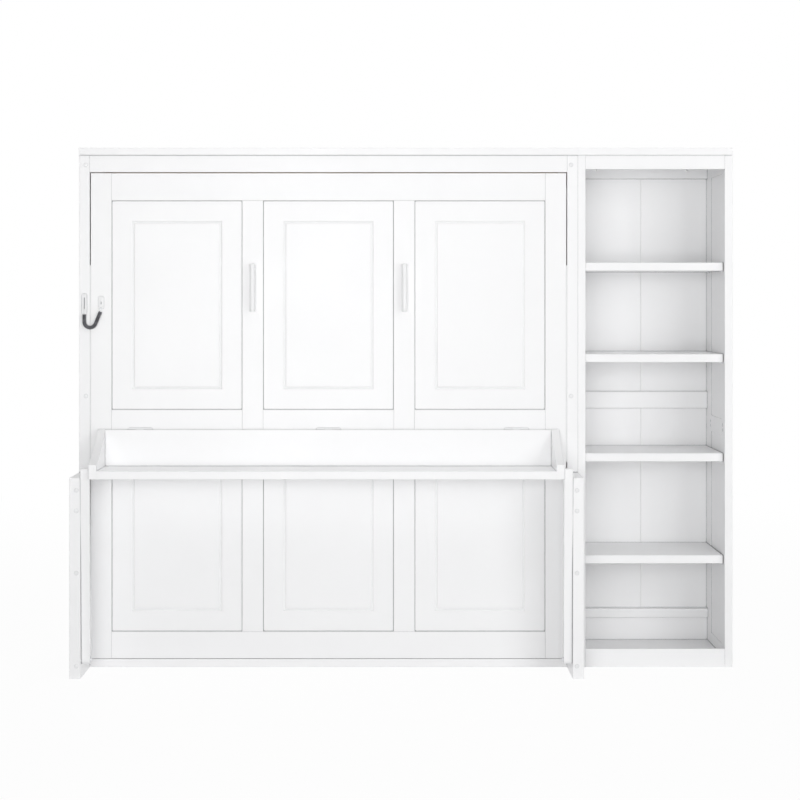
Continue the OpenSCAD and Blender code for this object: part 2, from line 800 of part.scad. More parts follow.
// Padded sleeve over the chain: a straight fall, a bend and a straight rise to the anchor.
module chain_sleeve() place() color(sleeve_black) translate([0, sleeve_y, 0]) {
  translate([track_x, 0, bend_z - fuse]) cylinder(h = sleeve_top_z - bend_z + fuse, r = sleeve_r);
  translate([bend_x, 0, bend_z]) rotate([90, 0, 0]) rotate([0, 0, 180])
    rotate_extrude(angle = 180 + tangent_angle) translate([sleeve_bend_r, 0]) circle(r = sleeve_r);
  translate([
    bend_x + sleeve_bend_r * cos(tangent_angle), 0,
    bend_z + sleeve_bend_r * sin(tangent_angle)
  ]) rotate([0, -tangent_angle, 0]) translate([0, 0, -fuse])
    cylinder(h = tangent_l - sleeve_r / 2 + fuse, r = sleeve_r);
}

// ---------- Desk ----------

module desk_board() place() color(white)
  board([desk_x0, -desk_front, desk_under], [desk_x1, desk_rear, desk_top_z], "x");

module desk_back() place() color(white)
  board([desk_x0, desk_rear - desk_back_t, desk_top_z], [desk_x1, desk_rear, desk_back_top], "x");

// Cheek with a hollow sloping edge, cut by a large round.
module desk_cheek() {
  low = [-desk_front, desk_under + cheek_front_h];
  high = [desk_rear - cheek_flat, cheek_top];
  half = norm(high - low) / 2;
  dip_r = half * half / (2 * cheek_dip) + cheek_dip / 2;
  up = [low.y - high.y, high.x - low.x] / (2 * half);
  centre = (low + high) / 2 + up * (dip_r - cheek_dip);
  color(white) difference() {
    translate([cheek_x0, 0, 0]) rotate([90, 0, 90]) linear_extrude(cheek_t) polygon([
      [desk_rear, desk_under], [desk_rear, cheek_top - ease], [desk_rear - ease, cheek_top],
      high, low, [-desk_front, desk_under]
    ]);
    translate([cheek_x0 - 1, centre.x, centre.y]) rotate([0, 90, 0]) cylinder(h = cheek_t + 2, r = dip_r, $fn = 360);
  }
}

module desk_cheek_left() place() desk_cheek();
module desk_cheek_right() place() on_right() desk_cheek();

module desk_pivot_studs() place() color(steel) both_sides()
  bar_x(side_t + 2 * side_clear, cheek_x0, arm_top_y, arm_top_z, arm_bolt_r);

// Outline of a side arm along the second axis: round below its lower pivot, square above its upper one.
module arm_outline() {
  half = arm_w / 2;
  corner = [half - arm_corner_r, arm_len + arm_over - arm_corner_r];
  polygon([
    for (a = [0:arc_step:90]) corner + arm_corner_r * [cos(a), sin(a)],
    for (a = [90:arc_step:180]) [-corner.x, corner.y] + arm_corner_r * [cos(a), sin(a)],
    for (a = [180:arc_step:360]) half * [cos(a), sin(a)]
  ]);
}

module arm() {
  x0 = side_t + side_clear;
  color(white) difference() {
    translate([x0, arm_base_y, arm_base_z]) rotate([arm_tilt, 0, 0]) rotate([90, 0, 90])
      linear_extrude(arm_t) arm_outline();
    bar_x(x0 - 1, x0 + arm_t + 1, arm_base_y, arm_base_z, arm_bolt_r + run_clear);
    bar_x(x0 - 1, x0 + arm_t + 1, arm_top_y, arm_top_z, arm_bolt_r + open_clear);
  }
}

module arm_left() place() arm();
module arm_right() place() on_right() arm();

// ---------- Desk hinges ----------

// Left edge of knuckle k of the hinge centred at x.
function knuckle_x(x, k) = x - hinge_w / 2 + k * (knuckle_w + knuckle_gap);

module pin_bores() {
  for (x = hinge_x) bar_x(x - hinge_w, x + hinge_w, hinge_y, hinge_z, hinge_pin_r + run_clear);
}

// Both leaves of a hinge hang in the gap behind the desk, one on the bed front and one on the desk's back board.
module hinge_leaves_bed() place() color(white_metal) difference() {
  for (x = hinge_x) {
    block([x - hinge_w / 2, -leaf_t, leaf_z0], [x + hinge_w / 2, 0, leaf_z1]);
    for (k = [0, 2]) {
      bar_x(knuckle_x(x, k), knuckle_x(x, k) + knuckle_w, hinge_y, hinge_z, knuckle_r);
      block([knuckle_x(x, k), -leaf_t, leaf_z1 - fuse], [knuckle_x(x, k) + knuckle_w, 0, hinge_z]);
    }
  }
  pin_bores();
}

module hinge_leaves_desk() place() color(white_metal) difference() {
  for (x = hinge_x) {
    block([x - hinge_w / 2, desk_rear, leaf_z0], [x + hinge_w / 2, desk_rear + leaf_t, leaf_z1]);
    bar_x(knuckle_x(x, 1), knuckle_x(x, 1) + knuckle_w, hinge_y, hinge_z, knuckle_r);
    block([knuckle_x(x, 1), desk_rear, leaf_z1 - fuse], [knuckle_x(x, 1) + knuckle_w, desk_rear + leaf_t, hinge_z]);
  }
  pin_bores();
}

module hinge_pins() place() color(steel)
  for (x = hinge_x) bar_x(x - hinge_w / 2, x + hinge_w / 2, hinge_y, hinge_z, hinge_pin_r);

// ---------- One line per node ----------

side_upper_left();
side_upper_right();
side_lower_left();
side_lower_right();
bed_top_board();
header_rail();
toe_rail();
wall_rails();
stop_strips();
screw_caps();
side_dowels();
pivot_bushes();
arm_pivot_bolts();
chain_track();
chain_slider();
bookcase_side_left();
bookcase_stile_front();
bookcase_stile_rear();
bookcase_side_rails();
bookcase_side_panels();
bookcase_top();
bookcase_header();
bookcase_plinth();
bookcase_floor();
shelf_1();
shelf_2();
shelf_3();
shelf_4();
shelf_pins();
bookcase_back_sheets();
bookcase_back_rails();
cam_locks();
face_stiles_outer();
face_stiles_inner();
face_top_rail();
face_mid_rails();
face_bottom_rail();
face_panels_upper();
face_panels_lower();
bed_rail_left();
bed_rail_right();
bed_end_rails();
slat_bearers();
bed_slats();
pivot_plates();
leg_brackets();
handle_leg_left();
handle_leg_right();
chain_anchor();
chain_sleeve();
hinge_leaves_bed();
hinge_leaves_desk();
hinge_pins();
desk_board();
desk_back();
desk_cheek_left();
desk_cheek_right();
desk_pivot_studs();
arm_left();
arm_right();
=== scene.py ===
"""Looks of a wall bed with a fold-down desk and an open bookcase.

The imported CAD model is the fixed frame: every board stays where it is and gets its lacquer, and the
fittings that a hand meets or an eye rests on are built finer here. Metres throughout: +X towards the
bookcase, +Y towards the wall, +Z up, with the origin on the floor in the middle of the footprint.
"""

import logging
import math
from collections.abc import Iterable, Mapping, Sequence
from dataclasses import dataclass
from enum import Enum
from typing import Any

import bmesh
import bpy
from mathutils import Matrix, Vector


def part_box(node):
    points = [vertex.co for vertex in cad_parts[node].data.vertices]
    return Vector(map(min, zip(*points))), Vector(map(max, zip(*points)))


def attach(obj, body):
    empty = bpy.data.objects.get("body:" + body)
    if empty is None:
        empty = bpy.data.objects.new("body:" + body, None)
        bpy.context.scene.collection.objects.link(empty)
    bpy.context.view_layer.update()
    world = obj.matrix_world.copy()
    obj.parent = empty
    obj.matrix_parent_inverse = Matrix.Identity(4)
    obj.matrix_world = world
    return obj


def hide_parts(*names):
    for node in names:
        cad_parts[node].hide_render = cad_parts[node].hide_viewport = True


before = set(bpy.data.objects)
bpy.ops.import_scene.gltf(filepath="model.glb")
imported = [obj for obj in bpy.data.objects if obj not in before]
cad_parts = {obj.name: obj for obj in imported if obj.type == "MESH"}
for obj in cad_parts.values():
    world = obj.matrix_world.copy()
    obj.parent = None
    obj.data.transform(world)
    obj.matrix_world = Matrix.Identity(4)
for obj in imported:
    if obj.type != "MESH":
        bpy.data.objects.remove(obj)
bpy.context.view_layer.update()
MM = 0.001  # a millimetre, in metres
NEAR = 1e-7  # points of an outline that are this close are one

log = logging.getLogger("wall_bed")

Colour = tuple[float, float, float]
Point = tuple[float, float, float]
Flat = tuple[float, float]
Table = tuple[Flat, ...]
Names = tuple[str, ...]
Loop = list[Flat]
Ring = list[bmesh.types.BMVert]


class Axis(Enum):
    """The axis of the object's frame that a turned or flat piece is built along."""

    X = 0
    Y = 1
    Z = 2

    def place(self, u: float, v: float, w: float) -> Vector:
        """Puts flat coordinates in the object's frame.

        Args:
            u: First coordinate across the axis.
            v: Second coordinate across the axis.
            w: Coordinate along the axis.

        Returns:
            The point in the object's frame.
        """
        if self is Axis.X:
            return Vector((w, u, v))
        if self is Axis.Y:
            return Vector((u, w, v))
        return Vector((u, v, w))


class Grain(Enum):
    """The way a plank's grain runs, as the stretch of its pattern along x, y and z."""

    ALONG_X = (0.05, 1.0, 1.0)
    ALONG_Z = (1.0, 1.0, 0.05)


class Side(Enum):
    """A side of the object, as the way along x from it to the middle."""

    LEFT = 1
    RIGHT = -1

    @property
    def word(self) -> str:
        """The side's word in the names of nodes and pieces."""
        return self.name.lower()


class Row(Enum):
    """A row of the bed front's panels, by its word in their names."""

    UPPER = "upper"
    LOWER = "lower"


# ---------- Shader maths ----------


class Signal:
    """A shader socket that takes part in Python expressions, which add the Math nodes."""

    def __init__(self, tree: "ShaderTree", socket: bpy.types.NodeSocket | None) -> None:
        """Wraps an output socket of a tree, or nothing for a node that has no outputs."""
        self.tree = tree
        self.socket = socket

    def _math(self, operation: str, *values: Any) -> "Signal":
        """The result of one Math node, whose inputs are signals or numbers in order."""
        return self.tree.node("ShaderNodeMath", {"operation": operation}, dict(enumerate(values)))

    def __add__(self, other: Any) -> "Signal":
        """Sum with a signal or a number."""
        return self._math("ADD", self, other)

    __radd__ = __add__

    def __sub__(self, other: Any) -> "Signal":
        """Difference from a signal or a number."""
        return self._math("SUBTRACT", self, other)

    def __rsub__(self, other: Any) -> "Signal":
        """A number less this signal."""
        return self._math("SUBTRACT", other, self)

    def __mul__(self, other: Any) -> "Signal":
        """Product with a signal or a number."""
        return self._math("MULTIPLY", self, other)

    __rmul__ = __mul__

    def sine(self) -> "Signal":
        """Sine of the signal in radians."""
        return self._math("SINE", self)

    def clamped(self) -> "Signal":
        """The signal held between zero and one."""
        return self.tree.node("ShaderNodeClamp", {}, {"Value": self})

    def spread(self, low: float, high: float) -> "Signal":
        """The range from low to high stretched to zero and one, with soft ends."""
        inputs = {"Value": self, "From Min": low, "From Max": high}
        return self.tree.node("ShaderNodeMapRange", {"interpolation_type": "SMOOTHSTEP"}, inputs)

    def swing(self, by: float) -> "Signal":
        """How far the signal is above or below one half, times a factor."""
        return (self - 0.5) * by


class ShaderTree:
    """One node tree, with a single method that makes every node."""

    edge_turn: Flat = (0.01, 0.3)
    edge_samples: int = 4
    # Ambient occlusion samples, and the open share below which no shade is painted.
    shade_samples: int = 8
    shade_open: float = 0.13

    def __init__(self, tree: bpy.types.NodeTree) -> None:
        """Takes over a material's or the world's node tree, and empties it."""
        self.tree = tree
        self.tree.nodes.clear()

    def node(
        self, kind: str, settings: Mapping[str, Any], inputs: Mapping[Any, Any], out: Any = 0
    ) -> Signal:
        """Makes a node: its settings are set first, then its inputs.

        Args:
            kind: The node's type name.
            settings: Its properties.
            inputs: Values or links for its sockets, by name or number.
            out: The wanted output's name or number.

        Returns:
            The output as a signal, which is empty for a node that has none.
        """
        node = self.tree.nodes.new(kind)
        for name, value in settings.items():
            setattr(node, name, value)
        for name, value in inputs.items():
            socket = node.inputs[name]
            if isinstance(value, Signal):
                self.tree.links.new(value.socket, socket)
            else:
                socket.default_value = value
        return Signal(self, node.outputs[out] if node.outputs else None)

    def place(self, stretch: Point = (1.0, 1.0, 1.0)) -> Signal:
        """The surface's own coordinates in metres, stretched along each axis."""
        own = self.node("ShaderNodeTexCoord", {}, {}, "Object")
        return self.node("ShaderNodeMapping", {}, {"Vector": own, "Scale": stretch})

    def noise(self, at: Signal, per_metre: float, detail: float = 3.0, rough: float = 0.5) -> Signal:
        """Soft noise about one half, by its cells in a metre, its finer layers and how strong these are."""
        inputs = {"Vector": at, "Scale": per_metre, "Detail": detail, "Roughness": rough}
        return self.node("ShaderNodeTexNoise", {}, inputs)

    def cells(self, at: Signal, per_metre: float) -> Signal:
        """Distance from the nearest of many scattered points, in cells."""
        return self.node("ShaderNodeTexVoronoi", {}, {"Vector": at, "Scale": per_metre}, "Distance")

    def blend(self, share: Signal, first: Any, second: Any) -> Signal:
        """Mixes two colours, each a tuple or a signal, by the share of the second one."""
        inputs = {0: share, 6: self._rgba(first), 7: self._rgba(second)}
        return self.node("ShaderNodeMix", {"data_type": "RGBA", "clamp_factor": True}, inputs, 2)

    @staticmethod
    def _rgba(colour: Any) -> Any:
        """A colour with its alpha, or the signal as it is."""
        return colour if isinstance(colour, Signal) else (*colour, 1.0)

    def bump(self, height: Signal, depth: float, below: Signal | None = None) -> Signal:
        """A bump from a height.

        Args:
            height: The height, from zero to one.
            depth: What one is in metres.
            below: A normal that it adds to.

        Returns:
            The normal.
        """
        inputs: dict[Any, Any] = {"Height": height, "Distance": depth, "Strength": 1.0}
        if below is not None:
            inputs["Normal"] = below
        return self.node("ShaderNodeBump", {}, inputs)

    def rounded_edge(self, radius: float) -> Signal:
        """The normal of the surface with its sharp edges rounded over."""
        return self.node("ShaderNodeBevel", {"samples": self.edge_samples}, {"Radius": radius})

    def edge(self, eased: Signal) -> Signal:
        """How near a sharp edge is, from the turn between the eased and the true normal.

        Args:
            eased: The normal with rounded edges.

        Returns:
            Zero on a flat, and one at an edge.
        """
        normals = {0: eased, 1: self.node("ShaderNodeNewGeometry", {}, {}, "Normal")}
        facing = self.node("ShaderNodeVectorMath", {"operation": "DOT_PRODUCT"}, normals, "Value")
        return (1.0 - facing).spread(*self.edge_turn)

    def joint(self, reach: float, shut: float = 0.75) -> Signal:
        """Painted shade mask: zero in the open, and one where the share shut of what lies within reach is
        hidden, from ambient occlusion.
        """
        settings = {"samples": self.shade_samples}
        opening = self.node("ShaderNodeAmbientOcclusion", settings, {"Distance": reach}, "AO")
        return (1.0 - opening).spread(self.shade_open, shut)

    def lifted(self, low: float, high: float) -> Signal:
        """Zero at the object's foot, rising to one between two heights in metres."""
        height = self.node("ShaderNodeSeparateXYZ", {}, {"Vector": self.place()}, "Z")
        return height.spread(low, high)


def toned(colour: Colour, factor: float) -> Colour:
    """A colour times a factor."""
    return (colour[0] * factor, colour[1] * factor, colour[2] * factor)


# ---------- Finishes ----------

# A scale is how many cells of a pattern lie in a metre, and a range is the part of it that shows. A tone is
# a share of the finish's own colour, and a share says how strongly a colour is mixed in. A matt is what a
# pattern adds to the roughness, and a gloss is what it takes away.


@dataclass(frozen=True)
class Finish:
    """A surface finish: a named material, made on first use."""

    name: str
    slot: str
    colour: Colour
    roughness: float

    def material(self) -> bpy.types.Material:
        """Makes the finish's material, or finds it once it is made.

        Returns:
            The material.
        """
        found = bpy.data.materials.get(self.name)
        if found is not None:
            return found
        made = bpy.data.materials.new(self.name)
        made.use_nodes = True
        made.diffuse_color = (*self.colour, 1.0)
        tree = ShaderTree(made.node_tree)
        shader = tree.node("ShaderNodeBsdfPrincipled", {}, {**self.fixed(), **self.surface(tree)})
        tree.node("ShaderNodeOutputMaterial", {}, {"Surface": shader})
        return made

    def fixed(self) -> dict[str, Any]:
        """What is the same all over the surface."""
        return {}

    def surface(self, tree: ShaderTree) -> dict[str, Any]:
        """The Principled shader's inputs that change over the surface, built in the material's tree."""
        raise NotImplementedError(self.name)


@dataclass(frozen=True)
class Lacquer(Finish):
    """White satin lacquer on board: faint orange peel, rounded arrises and painted shade in the joints and
    corners.
    """

    peel: float = 0.08 * MM
    peel_scale: float = 420.0
    drift_scale: float = 2.3
    drift_range: Flat = (0.35, 0.7)
    drift_tone: float = 0.988
    drift_matt: float = 0.08
    mist_scale: float = 38.0
    mist_matt: float = 0.05
    arris: float = 1.4 * MM
    arris_share: float = 0.4
    arris_tone: float = 0.95
    arris_gloss: float = 0.05
    # Painted shade: the colour darkens where ambient occlusion finds a joint or corner, patchy with the
    # mist, and fades out near the floor.
    foot: Flat = (4 * MM, 14 * MM)
    shade_reach: float = 8 * MM
    shade_shut: float = 0.5
    shade_share: float = 0.65
    shade_mist: float = 0.3
    shade_colour: Colour = (0.2, 0.205, 0.22)
    shade_matt: float = 0.2

    def fixed(self) -> dict[str, Any]:
        """The clear film over the paint."""
        return {"IOR": 1.48, "Specular IOR Level": 0.4}

    def surface(self, tree: ShaderTree) -> dict[str, Any]:
        """Paint with shade painted into the joints and corners, and glossier on the arrises.

        Args:
            tree: The material's tree.

        Returns:
            Inputs of the Principled shader.
        """
        at = tree.place()
        peel = tree.noise(at, self.peel_scale, detail=2.0)
        drift = tree.noise(at, self.drift_scale, detail=3.0, rough=0.6)
        mist = tree.noise(at, self.mist_scale, detail=4.0, rough=0.65)
        eased = tree.rounded_edge(self.arris)
        edge = tree.edge(eased)
        # Painted shade in joints and corners, kept off the floor contact.
        joint = tree.joint(self.shade_reach, self.shade_shut) * tree.lifted(*self.foot)
        paint = tree.blend(drift.spread(*self.drift_range), self.colour, toned(self.colour, self.drift_tone))
        arris = tree.blend(edge * self.arris_share, paint, toned(self.colour, self.arris_tone))
        colour = tree.blend(joint * (self.shade_share + mist * self.shade_mist), arris, self.shade_colour)
        matt = self.roughness + drift.swing(self.drift_matt) + mist.swing(self.mist_matt)
        matt += joint * self.shade_matt
        return {
            "Base Color": colour,
            "Roughness": matt - edge * self.arris_gloss,
            "Normal": tree.bump(peel, self.peel, eased),
        }


@dataclass(frozen=True)
class Softwood(Finish):
    """Bare planed softwood: early and late wood, a few knots, and fibres that catch the light."""

    grain: Grain = Grain.ALONG_X
    late_wood: Colour = (0.60, 0.42, 0.23)
    late_share: float = 0.55
    late_gloss: float = 0.06
    knot: Colour = (0.25, 0.13, 0.06)
    knot_scale: float = 5.0
    knot_size: Flat = (0.03, 0.075)
    knot_share: float = 0.8
    ring_scale: float = 9.0
    rings: float = 60.0
    ring_range: Flat = (0.4, 1.0)
    ring_relief: float = 0.4
    waver_scale: float = 30.0
    waver: float = 6.0
    fibre_scale: float = 900.0
    fibre_run: float = 0.02
    fibre_share: float = 0.35
    fibre_tone: float = 0.78
    fibre_matt: float = 0.2
    fibre_relief: float = 0.6
    relief: float = 0.2 * MM
    arris: float = 1.2 * MM

    def surface(self, tree: ShaderTree) -> dict[str, Any]:
        """Growth rings drawn out along the plank.

        Args:
            tree: The material's tree.

        Returns:
            Inputs of the Principled shader.
        """
        long = tree.place(self.grain.value)
        growth = tree.noise(long, self.ring_scale, detail=1.0) * self.rings
        phase = growth + tree.noise(long, self.waver_scale, detail=2.0) * self.waver
        rings = (phase.sine() * 0.5 + 0.5).spread(*self.ring_range)
        fibre = tree.noise(tree.place(self._fibre_stretch()), self.fibre_scale, detail=2.0)
        knots = 1.0 - tree.cells(long, self.knot_scale).spread(*self.knot_size)
        wood = tree.blend(rings * self.late_share, self.colour, self.late_wood)
        tinted = tree.blend(fibre * self.fibre_share, wood, toned(self.colour, self.fibre_tone))
        return {
            "Base Color": tree.blend(knots * self.knot_share, tinted, self.knot),
            "Roughness": self.roughness + fibre.swing(self.fibre_matt) - rings * self.late_gloss,
            "Normal": tree.bump(
                fibre * self.fibre_relief + rings * self.ring_relief,
                self.relief,
                tree.rounded_edge(self.arris),
            ),
        }

    def _fibre_stretch(self) -> Point:
        """The stretch of the finest fibres, far along the grain and short across it."""
        return tuple(self.fibre_run if share < 1.0 else 1.0 for share in self.grain.value)


@dataclass(frozen=True)
class PowderCoat(Finish):
    """White powder coat on steel: a fine dimpled skin, thinner and glossier on the edges, with shade painted
    into its recesses.
    """

    dimple: float = 0.06 * MM
    dimple_scale: float = 1500.0
    dimple_matt: float = 0.08
    drift_scale: float = 60.0
    drift_matt: float = 0.12
    edge_radius: float = 0.5 * MM
    edge_share: float = 0.5
    edge_tone: float = 0.9
    edge_gloss: float = 0.08
    # Painted shade in the recesses, from ambient occlusion.
    shade_reach: float = 4 * MM
    shade_tone: float = 0.5
    shade_share: float = 0.6

    def surface(self, tree: ShaderTree) -> dict[str, Any]:
        """Dimples, with a slight change of gloss and painted shade in the recesses.

        Args:
            tree: The material's tree.

        Returns:
            Inputs of the Principled shader.
        """
        at = tree.place()
        skin = tree.noise(at, self.dimple_scale, detail=2.0)
        drift = tree.noise(at, self.drift_scale, detail=2.0)
        eased = tree.rounded_edge(self.edge_radius)
        edge = tree.edge(eased)
        # Painted shade in the recesses.
        joint = tree.joint(self.shade_reach)
        paint = tree.blend(edge * self.edge_share, self.colour, toned(self.colour, self.edge_tone))
        colour = tree.blend(joint * self.shade_share, paint, toned(self.colour, self.shade_tone))
        matt = self.roughness + drift.swing(self.drift_matt) + skin.swing(self.dimple_matt)
        return {
            "Base Color": colour,
            "Roughness": matt - edge * self.edge_gloss,
            "Normal": tree.bump(skin, self.dimple, eased),
        }


@dataclass(frozen=True)
class MouldedPlastic(Finish):
    """Moulded plastic: a faint flow pattern under an even skin, with shade painted into the recesses."""

    skin: float = 0.03 * MM
    soft: float = 0.0
    soft_reach: float = 2 * MM
    flow_scale: float = 240.0
    flow_range: Flat = (0.3, 0.7)
    flow_tone: float = 0.96
    flow_matt: float = 0.1
    grain_scale: float = 2600.0
    # Painted shade in the recesses, from ambient occlusion.
    shade_reach: float = 3 * MM
    shade_share: float = 0.45
    shade_tone: float = 0.5

    def fixed(self) -> dict[str, Any]:
        """Light that sinks in a little."""
        return {"Subsurface Weight": self.soft, "Subsurface Scale": self.soft_reach}

    def surface(self, tree: ShaderTree) -> dict[str, Any]:
        """Slight flow marks and a shade in the recesses.

        Args:
            tree: The material's tree.

        Returns:
            Inputs of the Principled shader.
        """
        at = tree.place()
        flow = tree.noise(at, self.flow_scale, detail=3.0)
        grain = tree.noise(at, self.grain_scale, detail=1.0)
        # Painted shade in the recesses.
        joint = tree.joint(self.shade_reach)
        body = tree.blend(flow.spread(*self.flow_range), self.colour, toned(self.colour, self.flow_tone))
        return {
            "Base Color": tree.blend(joint * self.shade_share, body, toned(self.colour, self.shade_tone)),
            "Roughness": self.roughness + flow.swing(self.flow_matt),
            "Normal": tree.bump(grain, self.skin),
        }


@dataclass(frozen=True)
class ZincPlate(Finish):
    """Bright zinc on steel: fine drawn lines, small cloudy patches, and duller recesses with shade painted
    in.
    """

    cloud_scale: float = 90.0
    cloud_range: Flat = (0.35, 0.7)
    cloud_tone: float = 0.86
    cloud_matt: float = 0.18
    drawn_stretch: Point = (1.0, 0.08, 1.0)
    drawn_scale: float = 2200.0
    drawn_rise: float = 0.02 * MM
    drawn_matt: float = 0.12
    edge_radius: float = 0.3 * MM
    # Painted shade and a duller sheen in the recesses, from ambient occlusion.
    shade_reach: float = 3 * MM
    shade_share: float = 0.8
    shade_tone: float = 0.35
    shade_matt: float = 0.2

    def fixed(self) -> dict[str, Any]:
        """Bare metal."""
        return {"Metallic": 1.0}

    def surface(self, tree: ShaderTree) -> dict[str, Any]:
        """Clouds in the plating over drawn lines, with painted shade in the recesses.

        Args:
            tree: The material's tree.

        Returns:
            Inputs of the Principled shader.
        """
        cloud = tree.noise(tree.place(), self.cloud_scale, detail=3.0)
        drawn = tree.noise(tree.place(self.drawn_stretch), self.drawn_scale, detail=1.0)
        # Painted shade in the recesses.
        joint = tree.joint(self.shade_reach)
        plate = tree.blend(cloud.spread(*self.cloud_range), self.colour, toned(self.colour, self.cloud_tone))
        colour = tree.blend(joint * self.shade_share, plate, toned(self.colour, self.shade_tone))
        matt = self.roughness + cloud.swing(self.cloud_matt) + drawn.swing(self.drawn_matt)
        return {
            "Base Color": colour,
            "Roughness": matt + joint * self.shade_matt,
            "Normal": tree.bump(drawn, self.drawn_rise, tree.rounded_edge(self.edge_radius)),
        }


@dataclass(frozen=True)
class SoftTube(Finish):
    """Black foam tube: fine pores, and patches rubbed a little paler and glossier."""

    rubbed: Colour = (0.16, 0.16, 0.175)
    rub_scale: float = 70.0
    rub_range: Flat = (0.45, 0.75)
    rub_share: float = 0.6
    rub_gloss: float = 0.12
    pore: float = 0.12 * MM
    pore_scale: float = 1400.0
    pore_range: Flat = (0.1, 0.5)
    pore_share: float = 0.1
    pore_gloss: float = 0.08

    def fixed(self) -> dict[str, Any]:
        """The dull bloom of soft foam."""
        return {"Sheen Weight": 0.35, "Sheen Roughness": 0.4, "Specular IOR Level": 0.35}

    def surface(self, tree: ShaderTree) -> dict[str, Any]:
        """Pores and rubbed patches.

        Args:
            tree: The material's tree.

        Returns:
            Inputs of the Principled shader.
        """
        at = tree.place()
        pores = tree.cells(at, self.pore_scale).spread(*self.pore_range)
        rub = tree.noise(at, self.rub_scale, detail=3.0).spread(*self.rub_range)
        worn = rub * self.rub_share + pores * self.pore_share
        return {
            "Base Color": tree.blend(worn, self.colour, self.rubbed),
            "Roughness": self.roughness - rub * self.rub_gloss - pores * self.pore_gloss,
            "Normal": tree.bump(pores, self.pore),
        }


WHITE_PAINT: Colour = (0.966, 0.967, 0.973)
WHITE_COAT: Colour = (0.92, 0.922, 0.93)
PINE: Colour = (0.80, 0.66, 0.46)

PAINTED_BOARD = Lacquer("white_lacquer", "painted_board", WHITE_PAINT, 0.3)
# The same lacquer with weaker painted shade in its joints and corners.
LIGHTLY_SHADED_BOARD = Lacquer(
    "white_lacquer_light_shade", "lightly_shaded_board", WHITE_PAINT, 0.3, shade_share=0.3
)
PLANK = Softwood("softwood_along_x", "timber", PINE, 0.58)
POST = Softwood("softwood_along_z", "timber", PINE, 0.58, Grain.ALONG_Z)
PAINTED_METAL = PowderCoat("white_powder_coat", "painted_metal", WHITE_COAT, 0.36)
# Powder coat with almost no painted shade, for the hinges.
HINGE_METAL = PowderCoat("white_powder_coat_hinges", "hinge_metal", WHITE_COAT, 0.36, shade_share=0.1)
CAP_PLASTIC = MouldedPlastic("white_cap_plastic", "cap_plastic", (0.91, 0.913, 0.92), 0.24)
NYLON = MouldedPlastic("natural_nylon", "nylon", (0.80, 0.79, 0.74), 0.5, skin=0.06 * MM, soft=0.25)
ZINC = ZincPlate("bright_zinc", "zinc_steel", (0.76, 0.77, 0.79), 0.3)
SLEEVE = SoftTube("black_foam_tube", "sleeve", (0.055, 0.056, 0.062), 0.62)


# ---------- Places taken from the frame ----------


@dataclass(frozen=True)
class Box:
    """A box in the object's frame."""

    lo: Vector
    hi: Vector

    @property
    def centre(self) -> Vector:
        """The box's middle."""
        return (self.lo + self.hi) / 2

    @property
    def size(self) -> Vector:
        """The box's extent."""
        return self.hi - self.lo

    @property
    def front(self) -> Vector:
        """The middle of the face that looks into the room."""
        return Vector((self.centre.x, self.lo.y, self.centre.z))

    def outer(self, side: Side) -> float:
        """The x of the face that looks away from the middle, for a box on a side."""
        return self.lo.x if side is Side.LEFT else self.hi.x

    def inner(self, side: Side) -> float:
        """The x of the face that looks towards the middle, for a box on a side."""
        return self.hi.x if side is Side.LEFT else self.lo.x

    def outer_face(self, side: Side) -> Vector:
        """The middle of the face that looks away from the middle, for a box on a side."""
        return Vector((self.outer(side), self.centre.y, self.centre.z))

    @classmethod
    def of(cls, node: str) -> "Box":
        """The box of a CAD node at rest."""
        return cls(*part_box(node))

    @classmethod
    def each(cls, node: str) -> list["Box"]:
        """The boxes of a CAD node's separate solids.

        Args:
            node: The node's name.

        Returns:
            The boxes, from left to right, then upwards, then towards the wall.
        """
        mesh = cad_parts[node].data
        corners: dict[tuple[float, ...], int] = {}
        own = [corners.setdefault(tuple(round(c, 6) for c in v.co), len(corners)) for v in mesh.vertices]
        group = list(range(len(corners)))

        def first(i: int) -> int:
            """Follows a corner to the first corner of its solid.

            Args:
                i: The corner's number.

            Returns:
                The first corner's number.
            """
            while group[i] != i:
                group[i] = group[group[i]]
                i = group[i]
            return i

        for edge in mesh.edges:
            group[first(own[edge.vertices[0]])] = first(own[edge.vertices[1]])
        solids: dict[int, list[tuple[float, ...]]] = {}
        for corner, i in corners.items():
            solids.setdefault(first(i), []).append(corner)
        ranges = [list(zip(*points)) for points in solids.values()]
        boxes = [cls(Vector(map(min, r)), Vector(map(max, r))) for r in ranges]
        return sorted(boxes, key=lambda box: tuple(round(box.centre[i], 3) for i in (0, 2, 1)))


# ---------- Mesh work ----------


def mm(*pairs: Flat) -> Table:
    """Pairs of millimetres, in metres."""
    return tuple((a * MM, b * MM) for a, b in pairs)


def shifted(pairs: Iterable[Flat], first: float, second: float = 0.0) -> list[Flat]:
    """Pairs with a distance added to each first number, and another to each second one."""
    return [(first + a, second + b) for a, b in pairs]


def rounded(half_u: float, half_v: float, corner: float, v: float = 0.0, steps: int = 5) -> Loop:
    """A rectangle with round corners, which is a slot or a circle when they are large.

    Args:
        half_u: Half its width.
        half_v: Half its height.
        corner: The corners' radius.
        v: How far its middle lies above the point that it is placed at.
        steps: Steps of each corner.

    Returns:
        The points, anticlockwise.
    """
    quarters = ((1, 1), (-1, 1), (-1, -1), (1, -1))
    if corner <= 0:
        return [(side_u * half_u, v + side_v * half_v) for side_u, side_v in quarters]
    points: Loop = []
    for quarter, (side_u, side_v) in enumerate(quarters):
        for step in range(steps + 1):
            angle = math.pi / 2 * (quarter + step / steps)
            point = (
                side_u * (half_u - corner) + corner * math.cos(angle),
                v + side_v * (half_v - corner) + corner * math.sin(angle),
            )
            if not points or math.dist(point, points[-1]) > NEAR:
                points.append(point)
    return points[:-1] if math.dist(points[0], points[-1]) < NEAR else points


